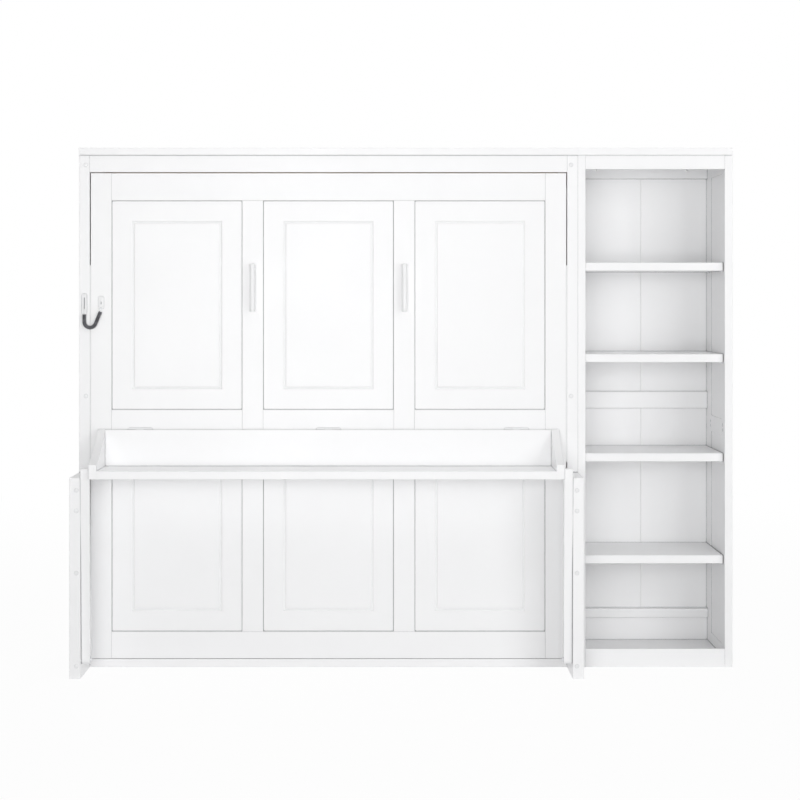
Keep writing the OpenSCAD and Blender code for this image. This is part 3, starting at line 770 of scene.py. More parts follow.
def circle(radius: float, v: float = 0.0, steps: int = 28) -> Loop:
    """A circle whose middle lies v upwards, or with few steps a regular polygon."""
    turns = [math.tau * i / steps for i in range(steps)]
    return [(radius * math.cos(a), v + radius * math.sin(a)) for a in turns]


def cross(arm: float, half_w: float) -> Loop:
    """The outline of a cross recess.

    Args:
        arm: How far an arm reaches from the middle.
        half_w: Half an arm's width.

    Returns:
        The points, anticlockwise.
    """
    right = ((arm, -half_w), (arm, half_w), (half_w, half_w))
    points: Loop = []
    for c, s in ((1, 0), (0, 1), (-1, 0), (0, -1)):
        points += [(a * c - b * s, a * s + b * c) for a, b in right]
    return points


def inset(loop: Loop, by: float) -> Loop:
    """Moves a loop inwards.

    Args:
        loop: Its points, anticlockwise.
        by: How far; a negative distance moves it outwards.

    Returns:
        As many points.
    """
    moved: Loop = []
    for last, (u, v), following in zip((loop[-1], *loop), loop, (*loop[1:], loop[0])):
        before = Vector((u - last[0], v - last[1])).normalized()
        after = Vector((following[0] - u, following[1] - v)).normalized()
        normal = Vector((-before.y - after.y, before.x + after.x)) * (by / (1 + before.dot(after)))
        moved.append((u + normal.x, v + normal.y))
    return moved


def round_edge(lo: float, hi: float, radius: float, steps: int = 3) -> list[Flat]:
    """The side of a plate whose two edges are rounded.

    Args:
        lo: Where the plate starts along its axis.
        hi: Where it ends.
        radius: The edges' radius.
        steps: Steps of each edge.

    Returns:
        (place along the axis, inset) pairs.
    """
    way = 1 if hi > lo else -1
    turns = [math.pi / 2 * i / steps for i in range(steps + 1)]
    depth = [(radius * (1 - math.sin(a)), radius * (1 - math.cos(a))) for a in turns]
    return [(lo + way * d, i) for d, i in reversed(depth)] + [(hi - way * d, i) for d, i in depth]


@dataclass(frozen=True)
class Cut:
    """A hole or a recess in a plate, with (place along the axis, inset) pairs from its mouth inwards."""

    loop: Loop
    side: Sequence[Flat]
    through: bool = True


@dataclass(frozen=True)
class ScrewHead:
    """A cross-recessed screw head. Its pairs are shares of its height and of its radius."""

    seat: float = 0.3 * MM
    side: Table = ((0.35, 0.0), (0.8, 0.08), (1.0, 0.25))
    cross_arm: float = 0.5
    cross_half: float = 0.12
    cross_side: Table = ((1.0, 0.0), (0.2, 0.03))
    steps: int = 20


class Shape:
    """A mesh in the making, in the object's frame."""

    sharp: float = math.radians(35)

    def __init__(self) -> None:
        """Starts with nothing."""
        self.bm = bmesh.new()

    def _rings(self, loop: Loop, side: Sequence[Flat], at: Vector, axis: Axis, way: int) -> list[Ring]:
        """Lays a loop at each place of a side, and joins them with faces.

        Args:
            loop: The loop, around the point that it is placed at.
            side: (place along the axis, inset) pairs.
            at: Where it is.
            axis: The axis that it is flat across.
            way: 1 or -1, the way along the axis that the places count.

        Returns:
            The corners, ring by ring.
        """
        u0, v0, w0 = (axis.place(*unit).dot(at) for unit in ((1, 0, 0), (0, 1, 0), (0, 0, 1)))
        rings = []
        for w, by in side:
            points = [axis.place(u0 + u, v0 + v, w0 + way * w) for u, v in inset(loop, by)]
            rings.append([self.bm.verts.new(point) for point in points])
        self._wall(rings)
        return rings

    def _wall(self, rings: Sequence[Ring], closed: bool = False) -> None:
        """Joins rings that follow each other.

        Args:
            rings: Rings of as many corners each.
            closed: Whether the last one also joins the first.
        """
        pairs = list(zip(rings, rings[1:])) + ([(rings[-1], rings[0])] if closed else [])
        for below, above in pairs:
            for i in range(len(below)):
                self.bm.faces.new((below[i - 1], below[i], above[i], above[i - 1]))

    def _lid(self, rings: Sequence[Ring]) -> None:
        """Closes a ring with a flat face.

        Args:
            rings: The ring, then those inside it that stay open.
        """
        if len(rings) == 1:
            self.bm.faces.new(rings[0])
            return
        edges = [self.bm.edges.get((ring[i - 1], ring[i])) for ring in rings for i in range(len(ring))]
        bmesh.ops.triangle_fill(self.bm, use_beauty=True, use_dissolve=False, edges=edges)

    def plate(
        self,
        loop: Loop,
        side: Sequence[Flat],
        at: Vector,
        axis: Axis,
        cuts: Sequence[Cut] = (),
        way: int = 1,
    ) -> None:
        """Adds a piece with a flat outline.

        Args:
            loop: The outline, around the point that it is placed at.
            side: (place along the axis, inset) pairs from its seat to its face.
            at: Where it is.
            axis: The axis that it is flat across.
            cuts: Holes and recesses, all from its face.
            way: 1 or -1, the way along the axis that the places count.
        """
        rings = self._rings(loop, side, at, axis, way)
        seat, face = [rings[0]], [rings[-1]]
        for cut in cuts:
            inner = self._rings(cut.loop, cut.side, at, axis, way)
            face.append(inner[0])
            if cut.through:
                seat.append(inner[-1])
            else:
                self._lid([inner[-1]])
        self._lid(seat)
        self._lid(face)

    def turned(
        self, profile: Sequence[Flat], at: Vector, axis: Axis, steps: int = 28, way: int = 1
    ) -> None:
        """Adds a turned piece, closed at both ends.

        Args:
            profile: (radius, place along the axis) pairs of its side.
            at: Where its axis passes.
            axis: The axis that it is turned about.
            steps: Steps round it.
            way: 1 or -1, the way along the axis that the places count.
        """
        widest = max(r for r, _ in profile)
        flat_share = math.cos(math.pi / steps)
        side = [(w, (widest - r) * flat_share) for r, w in profile]
        rings = self._rings(circle(widest, steps=steps), side, at, axis, way)
        for end in (0, -1):
            self._lid([rings[end]])

    def tube(
        self,
        path: Sequence[Vector],
        stations: Sequence[tuple[int, float]],
        ring: bool = False,
        steps: int = 12,
    ) -> None:
        """Adds a round bar along a path.

        Args:
            path: Its centreline.
            stations: (point of the path, radius) pairs.
            ring: Whether it closes on itself.
            steps: Steps round it.
        """
        count = len(path)
        side = (path[1] - path[0]).orthogonal().normalized()
        frames = []
        for i in range(count):
            before = path[i - 1] if ring or i else path[i]
            after = path[(i + 1) % count] if ring or i < count - 1 else path[i]
            tangent = (after - before).normalized()
            side = (side - tangent * side.dot(tangent)).normalized()
            frames.append((side, tangent.cross(side)))
        turns = [math.tau * k / steps for k in range(steps)]
        rings = []
        for i, radius in stations:
            across, up = frames[i]
            points = [path[i] + (across * math.cos(a) + up * math.sin(a)) * radius for a in turns]
            rings.append([self.bm.verts.new(point) for point in points])
        self._wall(rings, closed=ring)
        if not ring:
            for end in (0, -1):
                self._lid([rings[end]])

    def screw(self, radius: float, at: Vector, axis: Axis, out: int, rise: float) -> None:
        """Adds a cross-recessed screw head that lies on a surface.

        Args:
            radius: The head's radius.
            at: The middle of its seat.
            axis: The axis that it is driven along.
            out: 1 or -1, the way along the axis that its head looks.
            rise: Its height as a share of its radius.
        """
        head = ScrewHead()
        top = rise * radius
        side = [(-head.seat, 0.0), *((top * w, radius * by) for w, by in head.side)]
        recess = Cut(
            cross(head.cross_arm * radius, head.cross_half * radius),
            [(top * w, radius * by) for w, by in head.cross_side],
            through=False,
        )
        self.plate(circle(radius, steps=head.steps), side, at, axis, [recess], way=out)

    def piece(self, name: str, finish: Finish, body: str, replaced: Sequence[str] = ()) -> None:
        """Turns the mesh into a piece that rides on a body.

        Args:
            name: The piece's name.
            finish: Its finish.
            body: The CAD body that it rides on.
            replaced: CAD nodes that it stands for.
        """
        bmesh.ops.recalc_face_normals(self.bm, faces=self.bm.faces)
        mesh = bpy.data.meshes.new(name)
        self.bm.to_mesh(mesh)
        self.bm.free()
        mesh.shade_smooth()
        mesh.set_sharp_from_angle(angle=self.sharp)
        made = bpy.data.objects.new(name, mesh)
        bpy.context.scene.collection.objects.link(made)
        mesh.materials.append(finish.material())
        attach(made, body)
        if replaced:
            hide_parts(*replaced)
        log.info("%s: %d faces, rides on %s", name, len(mesh.polygons), body)


def dress(finish: Finish, *nodes: str) -> None:
    """Gives CAD nodes their finish.

    Args:
        finish: The finish.
        nodes: The nodes' names.
    """
    for name in nodes:
        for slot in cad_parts[name].material_slots:
            slot.material = finish.material()
        log.info("%s: CAD node in %s", name, finish.name)


# ---------- Studio ----------


@dataclass(frozen=True)
class Softbox:
    """A square lamp."""

    name: str
    at: Point
    towards: Point
    side: float
    watts: float


@dataclass
class Studio:
    """Camera, lamps, pale floor and white background."""

    camera_at: Point = (-0.087, -7.69, 1.554)
    sensor: float = 36.0
    lens: float = 81.43
    shift: Flat = (0.01875, -0.12875)
    ambient: float = 0.29
    floor_side: float = 60.0
    floor_colour: Colour = (0.9, 0.9, 0.9)
    near_glow: float = 0.96
    far: Flat = (2.0, 7.0)
    lamps: tuple[Softbox, ...] = (
        Softbox("key_right", (4.5, -6.5, 2.4), (0.0, 0.0, 1.1), 4.0, 141.0),
        Softbox("front_left", (-1.5, -8.0, 1.6), (0.0, 0.0, 1.0), 3.0, 122.0),
        Softbox("front_middle", (-0.4, -9.5, 1.6), (0.2, 0.0, 1.0), 3.0, 90.0),
        Softbox("overhead", (0.0, -1.6, 5.5), (0.0, -0.3, 0.8), 4.0, 40.0),
        Softbox("back_top", (0.0, 4.5, 3.6), (0.0, 0.0, 1.0), 3.0, 80.0),
    )

    def build(self) -> None:
        """Makes everything that isn't part of the object."""
        bpy.context.scene.view_settings.view_transform = "Standard"
        self._camera()
        for lamp in self.lamps:
            self._lamp(lamp)
        self._background()
        self._floor()
        log.info("studio: camera, %d lamps, floor", len(self.lamps))

    def _camera(self) -> None:
        """The camera at the photograph's place, level, with its frame shifted."""
        data = bpy.data.cameras.new("camera")
        data.sensor_width = self.sensor
        data.lens = self.lens
        data.shift_x, data.shift_y = self.shift
        camera = bpy.data.objects.new("camera", data)
        camera.location = self.camera_at
        camera.rotation_euler = (math.pi / 2, 0.0, 0.0)
        bpy.context.scene.collection.objects.link(camera)
        bpy.context.scene.camera = camera

    @staticmethod
    def _lamp(box: Softbox) -> None:
        """Makes one softbox.

        Args:
            box: What it is like, where it hangs and what it looks at.
        """
        data = bpy.data.lights.new(box.name, "AREA")
        data.shape = "SQUARE"
        data.size = box.side
        data.energy = box.watts
        lamp = bpy.data.objects.new(box.name, data)
        lamp.location = box.at
        lamp.rotation_euler = (Vector(box.towards) - Vector(box.at)).to_track_quat("-Z", "Y").to_euler()
        bpy.context.scene.collection.objects.link(lamp)

    @staticmethod
    def _seen(tree: ShaderTree) -> Signal:
        """One for what the camera sees, by itself or in gloss or glass.

        Args:
            tree: The tree that asks for it.

        Returns:
            The signal.
        """
        kinds = [f"Is {kind} Ray" for kind in ("Camera", "Glossy", "Transmission")]
        camera, gloss, glass = (tree.node("ShaderNodeLightPath", {}, {}, kind) for kind in kinds)
        return (camera + gloss + glass).clamped()

    def _background(self) -> None:
        """A world that lights evenly and shows white."""
        world = bpy.data.worlds.new("studio")
        world.use_nodes = True
        bpy.context.scene.world = world
        tree = ShaderTree(world.node_tree)
        seen = self._seen(tree)
        strength = self.ambient + seen * (1.0 - self.ambient)
        inputs = {"Color": (1.0, 1.0, 1.0, 1.0), "Strength": strength}
        shader = tree.node("ShaderNodeBackground", {}, inputs)
        tree.node("ShaderNodeOutputWorld", {}, {"Surface": shader})

    def _floor(self) -> None:
        """A pale floor that keeps the object's shadow and shows almost white."""
        shape = bmesh.new()
        bmesh.ops.create_grid(shape, x_segments=2, y_segments=2, size=self.floor_side / 2)
        mesh = bpy.data.meshes.new("floor")
        shape.to_mesh(mesh)
        shape.free()
        floor = bpy.data.objects.new("floor", mesh)
        bpy.context.scene.collection.objects.link(floor)
        material = bpy.data.materials.new("pale_floor")
        material.use_nodes = True
        tree = ShaderTree(material.node_tree)
        matt = tree.node("ShaderNodeBsdfDiffuse", {}, {"Color": (*self.floor_colour, 1.0)})
        glow = tree.node("ShaderNodeEmission", {}, {"Color": (1.0, 1.0, 1.0, 1.0), "Strength": 1.0})
        away = tree.node("ShaderNodeVectorMath", {"operation": "LENGTH"}, {0: tree.place()}, "Value")
        fade = away.spread(*self.far)
        shown = self._seen(tree) * (self.near_glow + fade * (1.0 - self.near_glow))
        mixed = tree.node("ShaderNodeMixShader", {}, {0: shown, 1: matt, 2: glow})
        tree.node("ShaderNodeOutputMaterial", {}, {"Surface": mixed})
        mesh.materials.append(material)


# ---------- Sub-assemblies ----------

# A turned part's table holds (radius, place along its axis) pairs, and a flat part's side holds
# (place along its axis, inset) pairs. Most count from the part's own rim or end, to fit every size.


@dataclass
class BedCabinet:
    """The bed's cabinet: boards, screw caps, wall rails, bushes and the arms' bolts."""

    body: str = "cabinet"
    boards: Names = (
        "side_upper_left", "side_upper_right", "side_lower_left", "side_lower_right",
        "bed_top_board", "header_rail", "toe_rail", "stop_strips",
    )
    cap_peg: float = 0.45
    cap_seat: float = 1.5 * MM
    cap_rim_w: float = 2.2 * MM
    cap_rim: Table = mm((0, 0.6), (-0.2, 0.25), (-0.7, 0.1))
    cap_groove: Table = mm((0.7, 0.1), (0.4, 0.6), (0, 0.6), (-0.2, 0.45))
    cap_dome: float = 0.4 * MM
    cap_dome_rings: tuple[float, ...] = (0.9, 0.75, 0.55, 0.35, 0.15)
    washer_w: float = 5 * MM
    washer_t: float = 1 * MM
    washer_edge: Table = mm((0, -1), (0, -0.1), (-0.2, 0))
    bolt_tip: Table = mm((-0.5, 0), (0, 0.5))
    bolt_head: Table = mm((0, 0), (0.9, 0), (2.1, 0.7), (2.9, 1.9), (3.4, 3.4))
    bolt_head_in: float = 1.5 * MM
    bolt_socket: float = 2.9 * MM
    bolt_socket_side: Table = mm((0, -0.2), (-2, 0))

    def build(self) -> None:
        """Dresses the boards and builds the fittings."""
        dress(PAINTED_BOARD, *self.boards)
        dress(PLANK, "wall_rails")
        dress(POST, "side_dowels")
        dress(NYLON, "pivot_bushes")
        self._screw_caps()
        self._arm_bolts()

    def _screw_caps(self) -> None:
        """Caps with a groove round a low dome, pressed into the front edges of the sides."""
        shape = Shape()
        for cap in Box.each("screw_caps"):
            radius = cap.size.x / 2
            peg, dome = self.cap_peg * radius, radius - self.cap_rim_w
            profile = [(peg, cap.size.y), (peg, self.cap_seat), (radius, self.cap_seat)]
            profile += shifted(self.cap_rim, radius) + shifted(self.cap_groove, dome)
            profile += [(dome * share, self.cap_dome * share * share) for share in self.cap_dome_rings]
            shape.turned(profile, cap.front, Axis.Y, steps=32)
        shape.piece("cabinet_screw_caps", CAP_PLASTIC, self.body, ["screw_caps"])

    def _arm_bolts(self) -> None:
        """Shoulder bolts of the arms: shank, washer and a button head with a hexagon socket."""
        shape = Shape()
        for side, bolt in zip(Side, Box.each("arm_pivot_bolts")):
            radius, length = bolt.size.y / 2, bolt.size.x
            shank, seat = radius - self.washer_w, length - self.bolt_head[-1][0]
            at = bolt.outer_face(side)
            profile = [*shifted(self.bolt_tip, shank), (shank, seat - self.washer_t)]
            profile += [*shifted(self.washer_edge, radius, seat), (shank, seat)]
            shape.turned(profile, at, Axis.X, steps=32, way=side.value)
            hexagon = circle(self.bolt_socket, steps=6)
            socket = Cut(hexagon, shifted(self.bolt_socket_side, length), through=False)
            head = shifted(self.bolt_head, seat)
            shape.plate(circle(radius - self.bolt_head_in), head, at, Axis.X, [socket], side.value)
        shape.piece("arm_shoulder_bolts", ZINC, self.body, ["arm_pivot_bolts"])


@dataclass
class Bookcase:
    """The open bookcase beside the bed, with its shelf pins and cam locks."""

    body: str = "cabinet"
    boards: Names = (
        "bookcase_side_left", "bookcase_top", "bookcase_header", "bookcase_plinth", "bookcase_floor",
        "shelf_1", "shelf_2", "shelf_3", "shelf_4", "bookcase_back_sheets", "bookcase_back_rails",
    )
    side_frame: Names = (
        "bookcase_stile_front", "bookcase_stile_rear", "bookcase_side_rails", "bookcase_side_panels",
    )
    pin_foot: Table = ((0.8, 0.0), (1.0, 0.6 * MM))
    pin_collar: Table = mm((0, 0), (1.2, 0), (1.2, 0.8), (0, 1))
    pin_tip: Table = ((1.0, -1.2 * MM), (0.8, -0.3 * MM), (0.4, 0.0))
    lock_back: Table = mm((0, 0.3), (-0.3, 0))
    lock_rim: Table = mm((0.6, 0), (0.2, 0.2), (0, 0.8), (0.05, 1.5), (0.4, 1.9))
    lock_clear: float = 0.02 * MM
    recess_arm: float = 3.7 * MM
    recess_half: float = 0.9 * MM
    recess_side: Table = mm((0.4, 0), (2.2, 0.15))

    def build(self) -> None:
        """Dresses the boards and builds the fittings."""
        dress(LIGHTLY_SHADED_BOARD, *self.boards)
        dress(PAINTED_BOARD, *self.side_frame)
        self._shelf_pins()
        self._cam_locks()

    def _shelf_pins(self) -> None:
        """Steel pins with a collar at the board's face and a rounded tip."""
        shape = Shape()
        middle = Box.of("bookcase_floor").centre.x
        for pin in Box.each("shelf_pins"):
            side = Side.LEFT if pin.centre.x < middle else Side.RIGHT
            radius, length = pin.size.z / 2, pin.size.x
            profile = [(radius * share, w) for share, w in self.pin_foot]
            profile += shifted(self.pin_collar, radius, length / 2)
            profile += [(radius * share, length + w) for share, w in self.pin_tip]
            shape.turned(profile, pin.outer_face(side), Axis.X, steps=20, way=side.value)
        shape.piece("bookcase_shelf_pins", ZINC, self.body, ["shelf_pins"])

    def _cam_locks(self) -> None:
        """Cam locks with a rounded rim and a cross recess, sunk into the side frame."""
        shape = Shape()
        recess = Cut(cross(self.recess_arm, self.recess_half), self.recess_side, through=False)
        for lock in Box.each("cam_locks"):
            outline = circle(lock.size.z / 2 - self.lock_clear, steps=36)
            side = [*shifted(self.lock_back, lock.size.x), *self.lock_rim]
            shape.plate(outline, side, lock.outer_face(Side.LEFT), Axis.X, [recess])
        shape.piece("bookcase_cam_locks", ZINC, self.body, ["cam_locks"])


@dataclass
class BedFront:
    """The panelled front of the bed: face frame, moulded panels and the desk's hinges."""

    body: str = "bed"
    desk_body: str = "desk"
    boards: Names = (
        "face_stiles_outer", "face_stiles_inner", "face_top_rail", "face_bottom_rail",
    )
    tongue: float = 8 * MM
    quirk: Table = mm((0, 0), (2.5, 0.2), (2.5, 1.3), (0, 1.5))
    cove_inset: float = 85 * MM
    cove_w: float = 12 * MM
    cove_depth: float = 3.6 * MM
    cove_steps: int = 14
    leaf_t: float = 2 * MM
    leaf_edge: float = 9 * MM
    leaf_screw: float = 3.4 * MM
    leaf_screw_rise: float = 0.1
    leaf_screws_at: tuple[float, ...] = (0.12, 0.5, 0.88)

    def build(self) -> None:
        """Dresses the face frame and builds the panels and the hinges' screws."""
        dress(PAINTED_BOARD, *self.boards)
        dress(LIGHTLY_SHADED_BOARD, "face_mid_rails")
        for row in Row:
            self._panels(row)
        dress(HINGE_METAL, "hinge_leaves_bed", "hinge_leaves_desk")
        dress(ZINC, "hinge_pins")
        on_bed = Box.of("face_mid_rails").lo.y - self.leaf_t
        self._leaf_screws("hinge_leaves_bed", self.body, on_bed, -1)
        on_desk = Box.of("desk_back").hi.y + self.leaf_t
        self._leaf_screws("hinge_leaves_desk", self.desk_body, on_desk, 1)

    def _panels(self, row: Row) -> None:
        """Panels with a cove routed round their field, and a quirk along the face frame.

        Args:
            row: The row of panels.
        """
        node = f"face_panels_{row.value}"
        front = [(0.0, 0.0), *shifted(self.quirk, 0.0, self.tongue), *self._cove()]
        shape = Shape()
        for panel in Box.each(node):
            outline = rounded(panel.size.x / 2, panel.size.z / 2, 0.0)
            shape.plate(outline, [(panel.size.y, 0.0), *front], panel.front, Axis.Y)
        shape.piece(f"moulded_panels_{row.value}", PAINTED_BOARD, self.body, [node])

    def _cove(self) -> list[Flat]:
        """The routed cove, from its outer edge to its inner one.

        Returns:
            (depth, inset) pairs.
        """
        start = self.tongue + self.cove_inset
        shares = [i / self.cove_steps for i in range(self.cove_steps + 1)]
        return [(4 * self.cove_depth * s * (1 - s), start + self.cove_w * s) for s in shares]

    def _leaf_screws(self, node: str, body: str, face: float, out: int) -> None:
        """Screws in the hinges' leaves.

        Args:
            node: The leaves' CAD node.
            body: The body that they ride on.
            face: Where the leaves' faces lie, towards the wall.
            out: 1 or -1, the way that the faces look.
        """
        shape = Shape()
        for leaf in Box.each(node):
            for share in self.leaf_screws_at:
                at = Vector((leaf.lo.x + leaf.size.x * share, face, leaf.lo.z + self.leaf_edge))
                shape.screw(self.leaf_screw, at, Axis.Y, out, self.leaf_screw_rise)
        shape.piece(f"{node}_screws", PAINTED_METAL, body)


@dataclass
class BedFrame:
    """The timber frame behind the bed front: rails, bearers, slats, pivot plates and what holds them."""

    body: str = "bed"
    screw_rise: float = 0.12
    slat_screw: float = 3.5 * MM
    slat_screws_at: tuple[float, ...] = (0.28, 0.72)
    rail_screw: float = 4.5 * MM
    rail_screws_at: tuple[float, ...] = (0.25, 0.5, 0.75)
    plate_t: float = 5 * MM
    bolt_end: float = 18 * MM
    bolt_edge: float = 16 * MM
    dome_r: float = 7.5 * MM
    dome_rise: float = 3.2 * MM
    dome: Table = ((-0.3, 0.0), (0.0, 0.0), (0.45, 0.08), (0.8, 0.3), (1.0, 0.62))
    washer_r: float = 10.85 * MM
    washer_t: float = 1.4 * MM
    washer_edge: float = 0.2 * MM
    nut_r: float = 7 * MM
    nut: Table = mm((1.3, 0), (6.1, 0), (6.8, 0.7))
    thread_r: float = 3.9 * MM
    thread: Table = mm((1.3, 0), (9.2, 0), (9.8, 0.6))

    def build(self) -> None:
        """Dresses the timber and builds its screws and bolts."""
        dress(POST, "bed_rail_left", "bed_rail_right", "slat_bearers")
        dress(PLANK, "bed_end_rails", "bed_slats")
        dress(ZINC, "pivot_plates")
        self._slat_screws()
        self._corner_screws()
        self._plate_bolts()

    def _slat_screws(self) -> None:
        """Two screws from each slat into each bearer."""
        shape = Shape()
        for slat in Box.each("bed_slats"):
            for bearer in Box.each("slat_bearers"):
                for share in self.slat_screws_at:
                    at = Vector((bearer.centre.x, slat.hi.y, slat.lo.z + slat.size.z * share))
                    shape.screw(self.slat_screw, at, Axis.Y, 1, self.screw_rise)
        shape.piece("bed_slat_screws", ZINC, self.body)

    def _corner_screws(self) -> None:
        """Screws through the side rails into the end rails."""
        shape = Shape()
        for side in Side:
            x = Box.of(f"bed_rail_{side.word}").outer(side)
            for end in Box.each("bed_end_rails"):
                for share in self.rail_screws_at:
                    at = Vector((x, end.lo.y + end.size.y * share, end.centre.z))
                    shape.screw(self.rail_screw, at, Axis.X, -side.value, self.screw_rise)
        shape.piece("bed_corner_screws", ZINC, self.body)

    def _plate_bolts(self) -> None:
        """Carriage bolts through the pivot plates and side rails, with washers and nuts inside."""
        shape = Shape()
        dome = [(self.dome_rise * w, self.dome_r * by) for w, by in self.dome]
        washer = round_edge(0.0, self.washer_t, self.washer_edge)
        for side, plate in zip(Side, Box.each("pivot_plates")):
            rail = Box.of(f"bed_rail_{side.word}")
            for z in (plate.lo.z + self.bolt_end, plate.hi.z - self.bolt_end):
                y = plate.hi.y - self.bolt_edge
                outside = Vector((rail.outer(side) - side.value * self.plate_t, y, z))
                shape.plate(circle(self.dome_r), dome, outside, Axis.X, way=-side.value)
                inside = Vector((rail.inner(side), y, z))
                shape.plate(circle(self.washer_r), washer, inside, Axis.X, way=side.value)
                shape.plate(circle(self.nut_r, steps=6), self.nut, inside, Axis.X, way=side.value)
                shape.plate(circle(self.thread_r, steps=20), self.thread, inside, Axis.X, way=side.value)
        shape.piece("pivot_plate_bolts", ZINC, self.body)


@dataclass
class HandleLegs:
    """The two bar handles that swing out as legs, with their brackets and rests."""

    bracket_body: str = "bed"
    end: float = 5 * MM
    foot: Table = mm(
        (-2.2, 0), (-0.8, 0.5), (0, 2), (0, 5.6), (-0.4, 5.8), (-0.4, 6.2), (0, 6.5)
    )
    head: Table = mm((-2.4, 0), (-1.2, 0.3), (-0.4, 0.9), (0, 2))
    slot_half: float = 3.4 * MM
    slot_in: float = 5.2 * MM
    fork_steps: int = 36
    rose: Table = mm((10, 0), (10, -1.6), (9.5, -2.4), (8.4, -2.8), (5, -3))
    rose_drop: float = 6 * MM
    sunk: float = 0.4 * MM
    tongue_r: float = 4.8 * MM
    tongue_half: float = 3 * MM
    tongue_edge: float = 0.5 * MM
    tongue_steps: int = 14
    tongue_fillet: Table = ((0.62, 1.0), (0.8, 1.12), (0.92, 1.4), (1.0, 2.0))
    pin: float = 2.5 * MM
    pin_head: Table = mm((-0.5, 0), (-0.1, 0), (0.25, 0.8))
    pin_lap: float = 0.1 * MM
    pin_clear: float = 0.05 * MM
    rest_up: float = 25 * MM
    rest_clear: float = 0.4 * MM
    rest_foot: Table = mm((7.5, 0), (7.5, -1.2), (6.5, -1.8), (4.4, -3.2))
    rest_pad: Table = mm((4.4, 4.2), (5, 3.6), (5, 0.8), (4.2, 0))

    def build(self) -> None:
        """Builds the bars and the brackets."""
        for side in Side:
            self._bar(side)
        self._brackets()

    def _bar(self, side: Side) -> None:
        """One round bar: a plug in its foot, and a fork at its head for the bracket's tongue.

        Args:
            side: The side that it is on.
        """
        node = f"handle_leg_{side.word}"
        bar = Box.of(node)
        radius, length = bar.size.x / 2, bar.size.z
        fork = length - self.end - self.slot_in
        at = Vector((bar.centre.x, bar.centre.y, bar.lo.z))
        shape = Shape()
        shape.turned([*shifted(self.foot, radius), (radius, fork)], at, Axis.Z, steps=40)
        shape.plate(self._fork(radius), [(fork, 0.0), *shifted(self.head, length)], at, Axis.Z)
        shape.piece(f"bar_handle_{side.word}", PAINTED_METAL, f"leg_{side.word}", [node])

    def _fork(self, radius: float) -> Loop:
        """The outline of a bar's head: round, with a slot that is open to the back.

        Args:
            radius: The bar's radius.

        Returns:
            The points, anticlockwise.
        """
        start = math.acos(-self.slot_half / radius)
        sweep = math.tau + math.pi - 2 * start
        turns = [start + sweep * i / self.fork_steps for i in range(self.fork_steps + 1)]
        outside = [(radius * math.cos(a), radius * math.sin(a)) for a in turns]
        return [*outside, (self.slot_half, -self.slot_in), (-self.slot_half, -self.slot_in)]

    def _brackets(self) -> None:
        """Brackets with a round foot, a tongue and a pin, and the rests that the bars lie against."""
        shape = Shape()
        face = Box.of("face_stiles_inner").lo.y
        for side in Side:
            bar = Box.of(f"handle_leg_{side.word}")
            radius = bar.size.x / 2
            pin = Vector((bar.centre.x, bar.centre.y, bar.hi.z - self.end))
            shape.turned(self.rose, Vector((pin.x, face, pin.z - self.rose_drop)), Axis.Y, steps=36)
            tongue = self._tongue(face + self.rose[-1][1] + self.sunk - pin.y)
            edge = round_edge(-self.tongue_half, self.tongue_half, self.tongue_edge)
            shape.plate(tongue, edge, pin, Axis.X)
            inner = [(self.tongue_half - self.pin_lap, 0.0), (self.slot_half - self.pin_clear, 0.0)]
            for way in (1, -1):
                for part in (shifted(self.pin_head, radius), inner):
                    shape.plate(circle(self.pin, steps=20), part, pin, Axis.X, way=way)
            reach = pin.y + radius + self.rest_clear - face
            rest = [*self.rest_foot, *shifted(self.rest_pad, 0.0, reach)]
            shape.turned(rest, Vector((pin.x, face, bar.lo.z + self.rest_up)), Axis.Y)
        shape.piece("handle_brackets", PAINTED_METAL, self.bracket_body, ["leg_brackets"])

    def _tongue(self, base: float) -> Loop:
        """The outline of a tongue: round at the pin, with a fillet under its root.

        Args:
            base: Where the root is, measured from the pin.

        Returns:
            The points, anticlockwise, with the root at positive u.
        """
        radius, steps = self.tongue_r, self.tongue_steps
        turns = [math.pi / 2 + math.pi * i / steps for i in range(steps + 1)]
        nose = [(radius * math.cos(a), radius * math.sin(a)) for a in turns]
        fillet = [(base * along, -radius * down) for along, down in self.tongue_fillet]
        return [*nose, *fillet, (base, radius)]


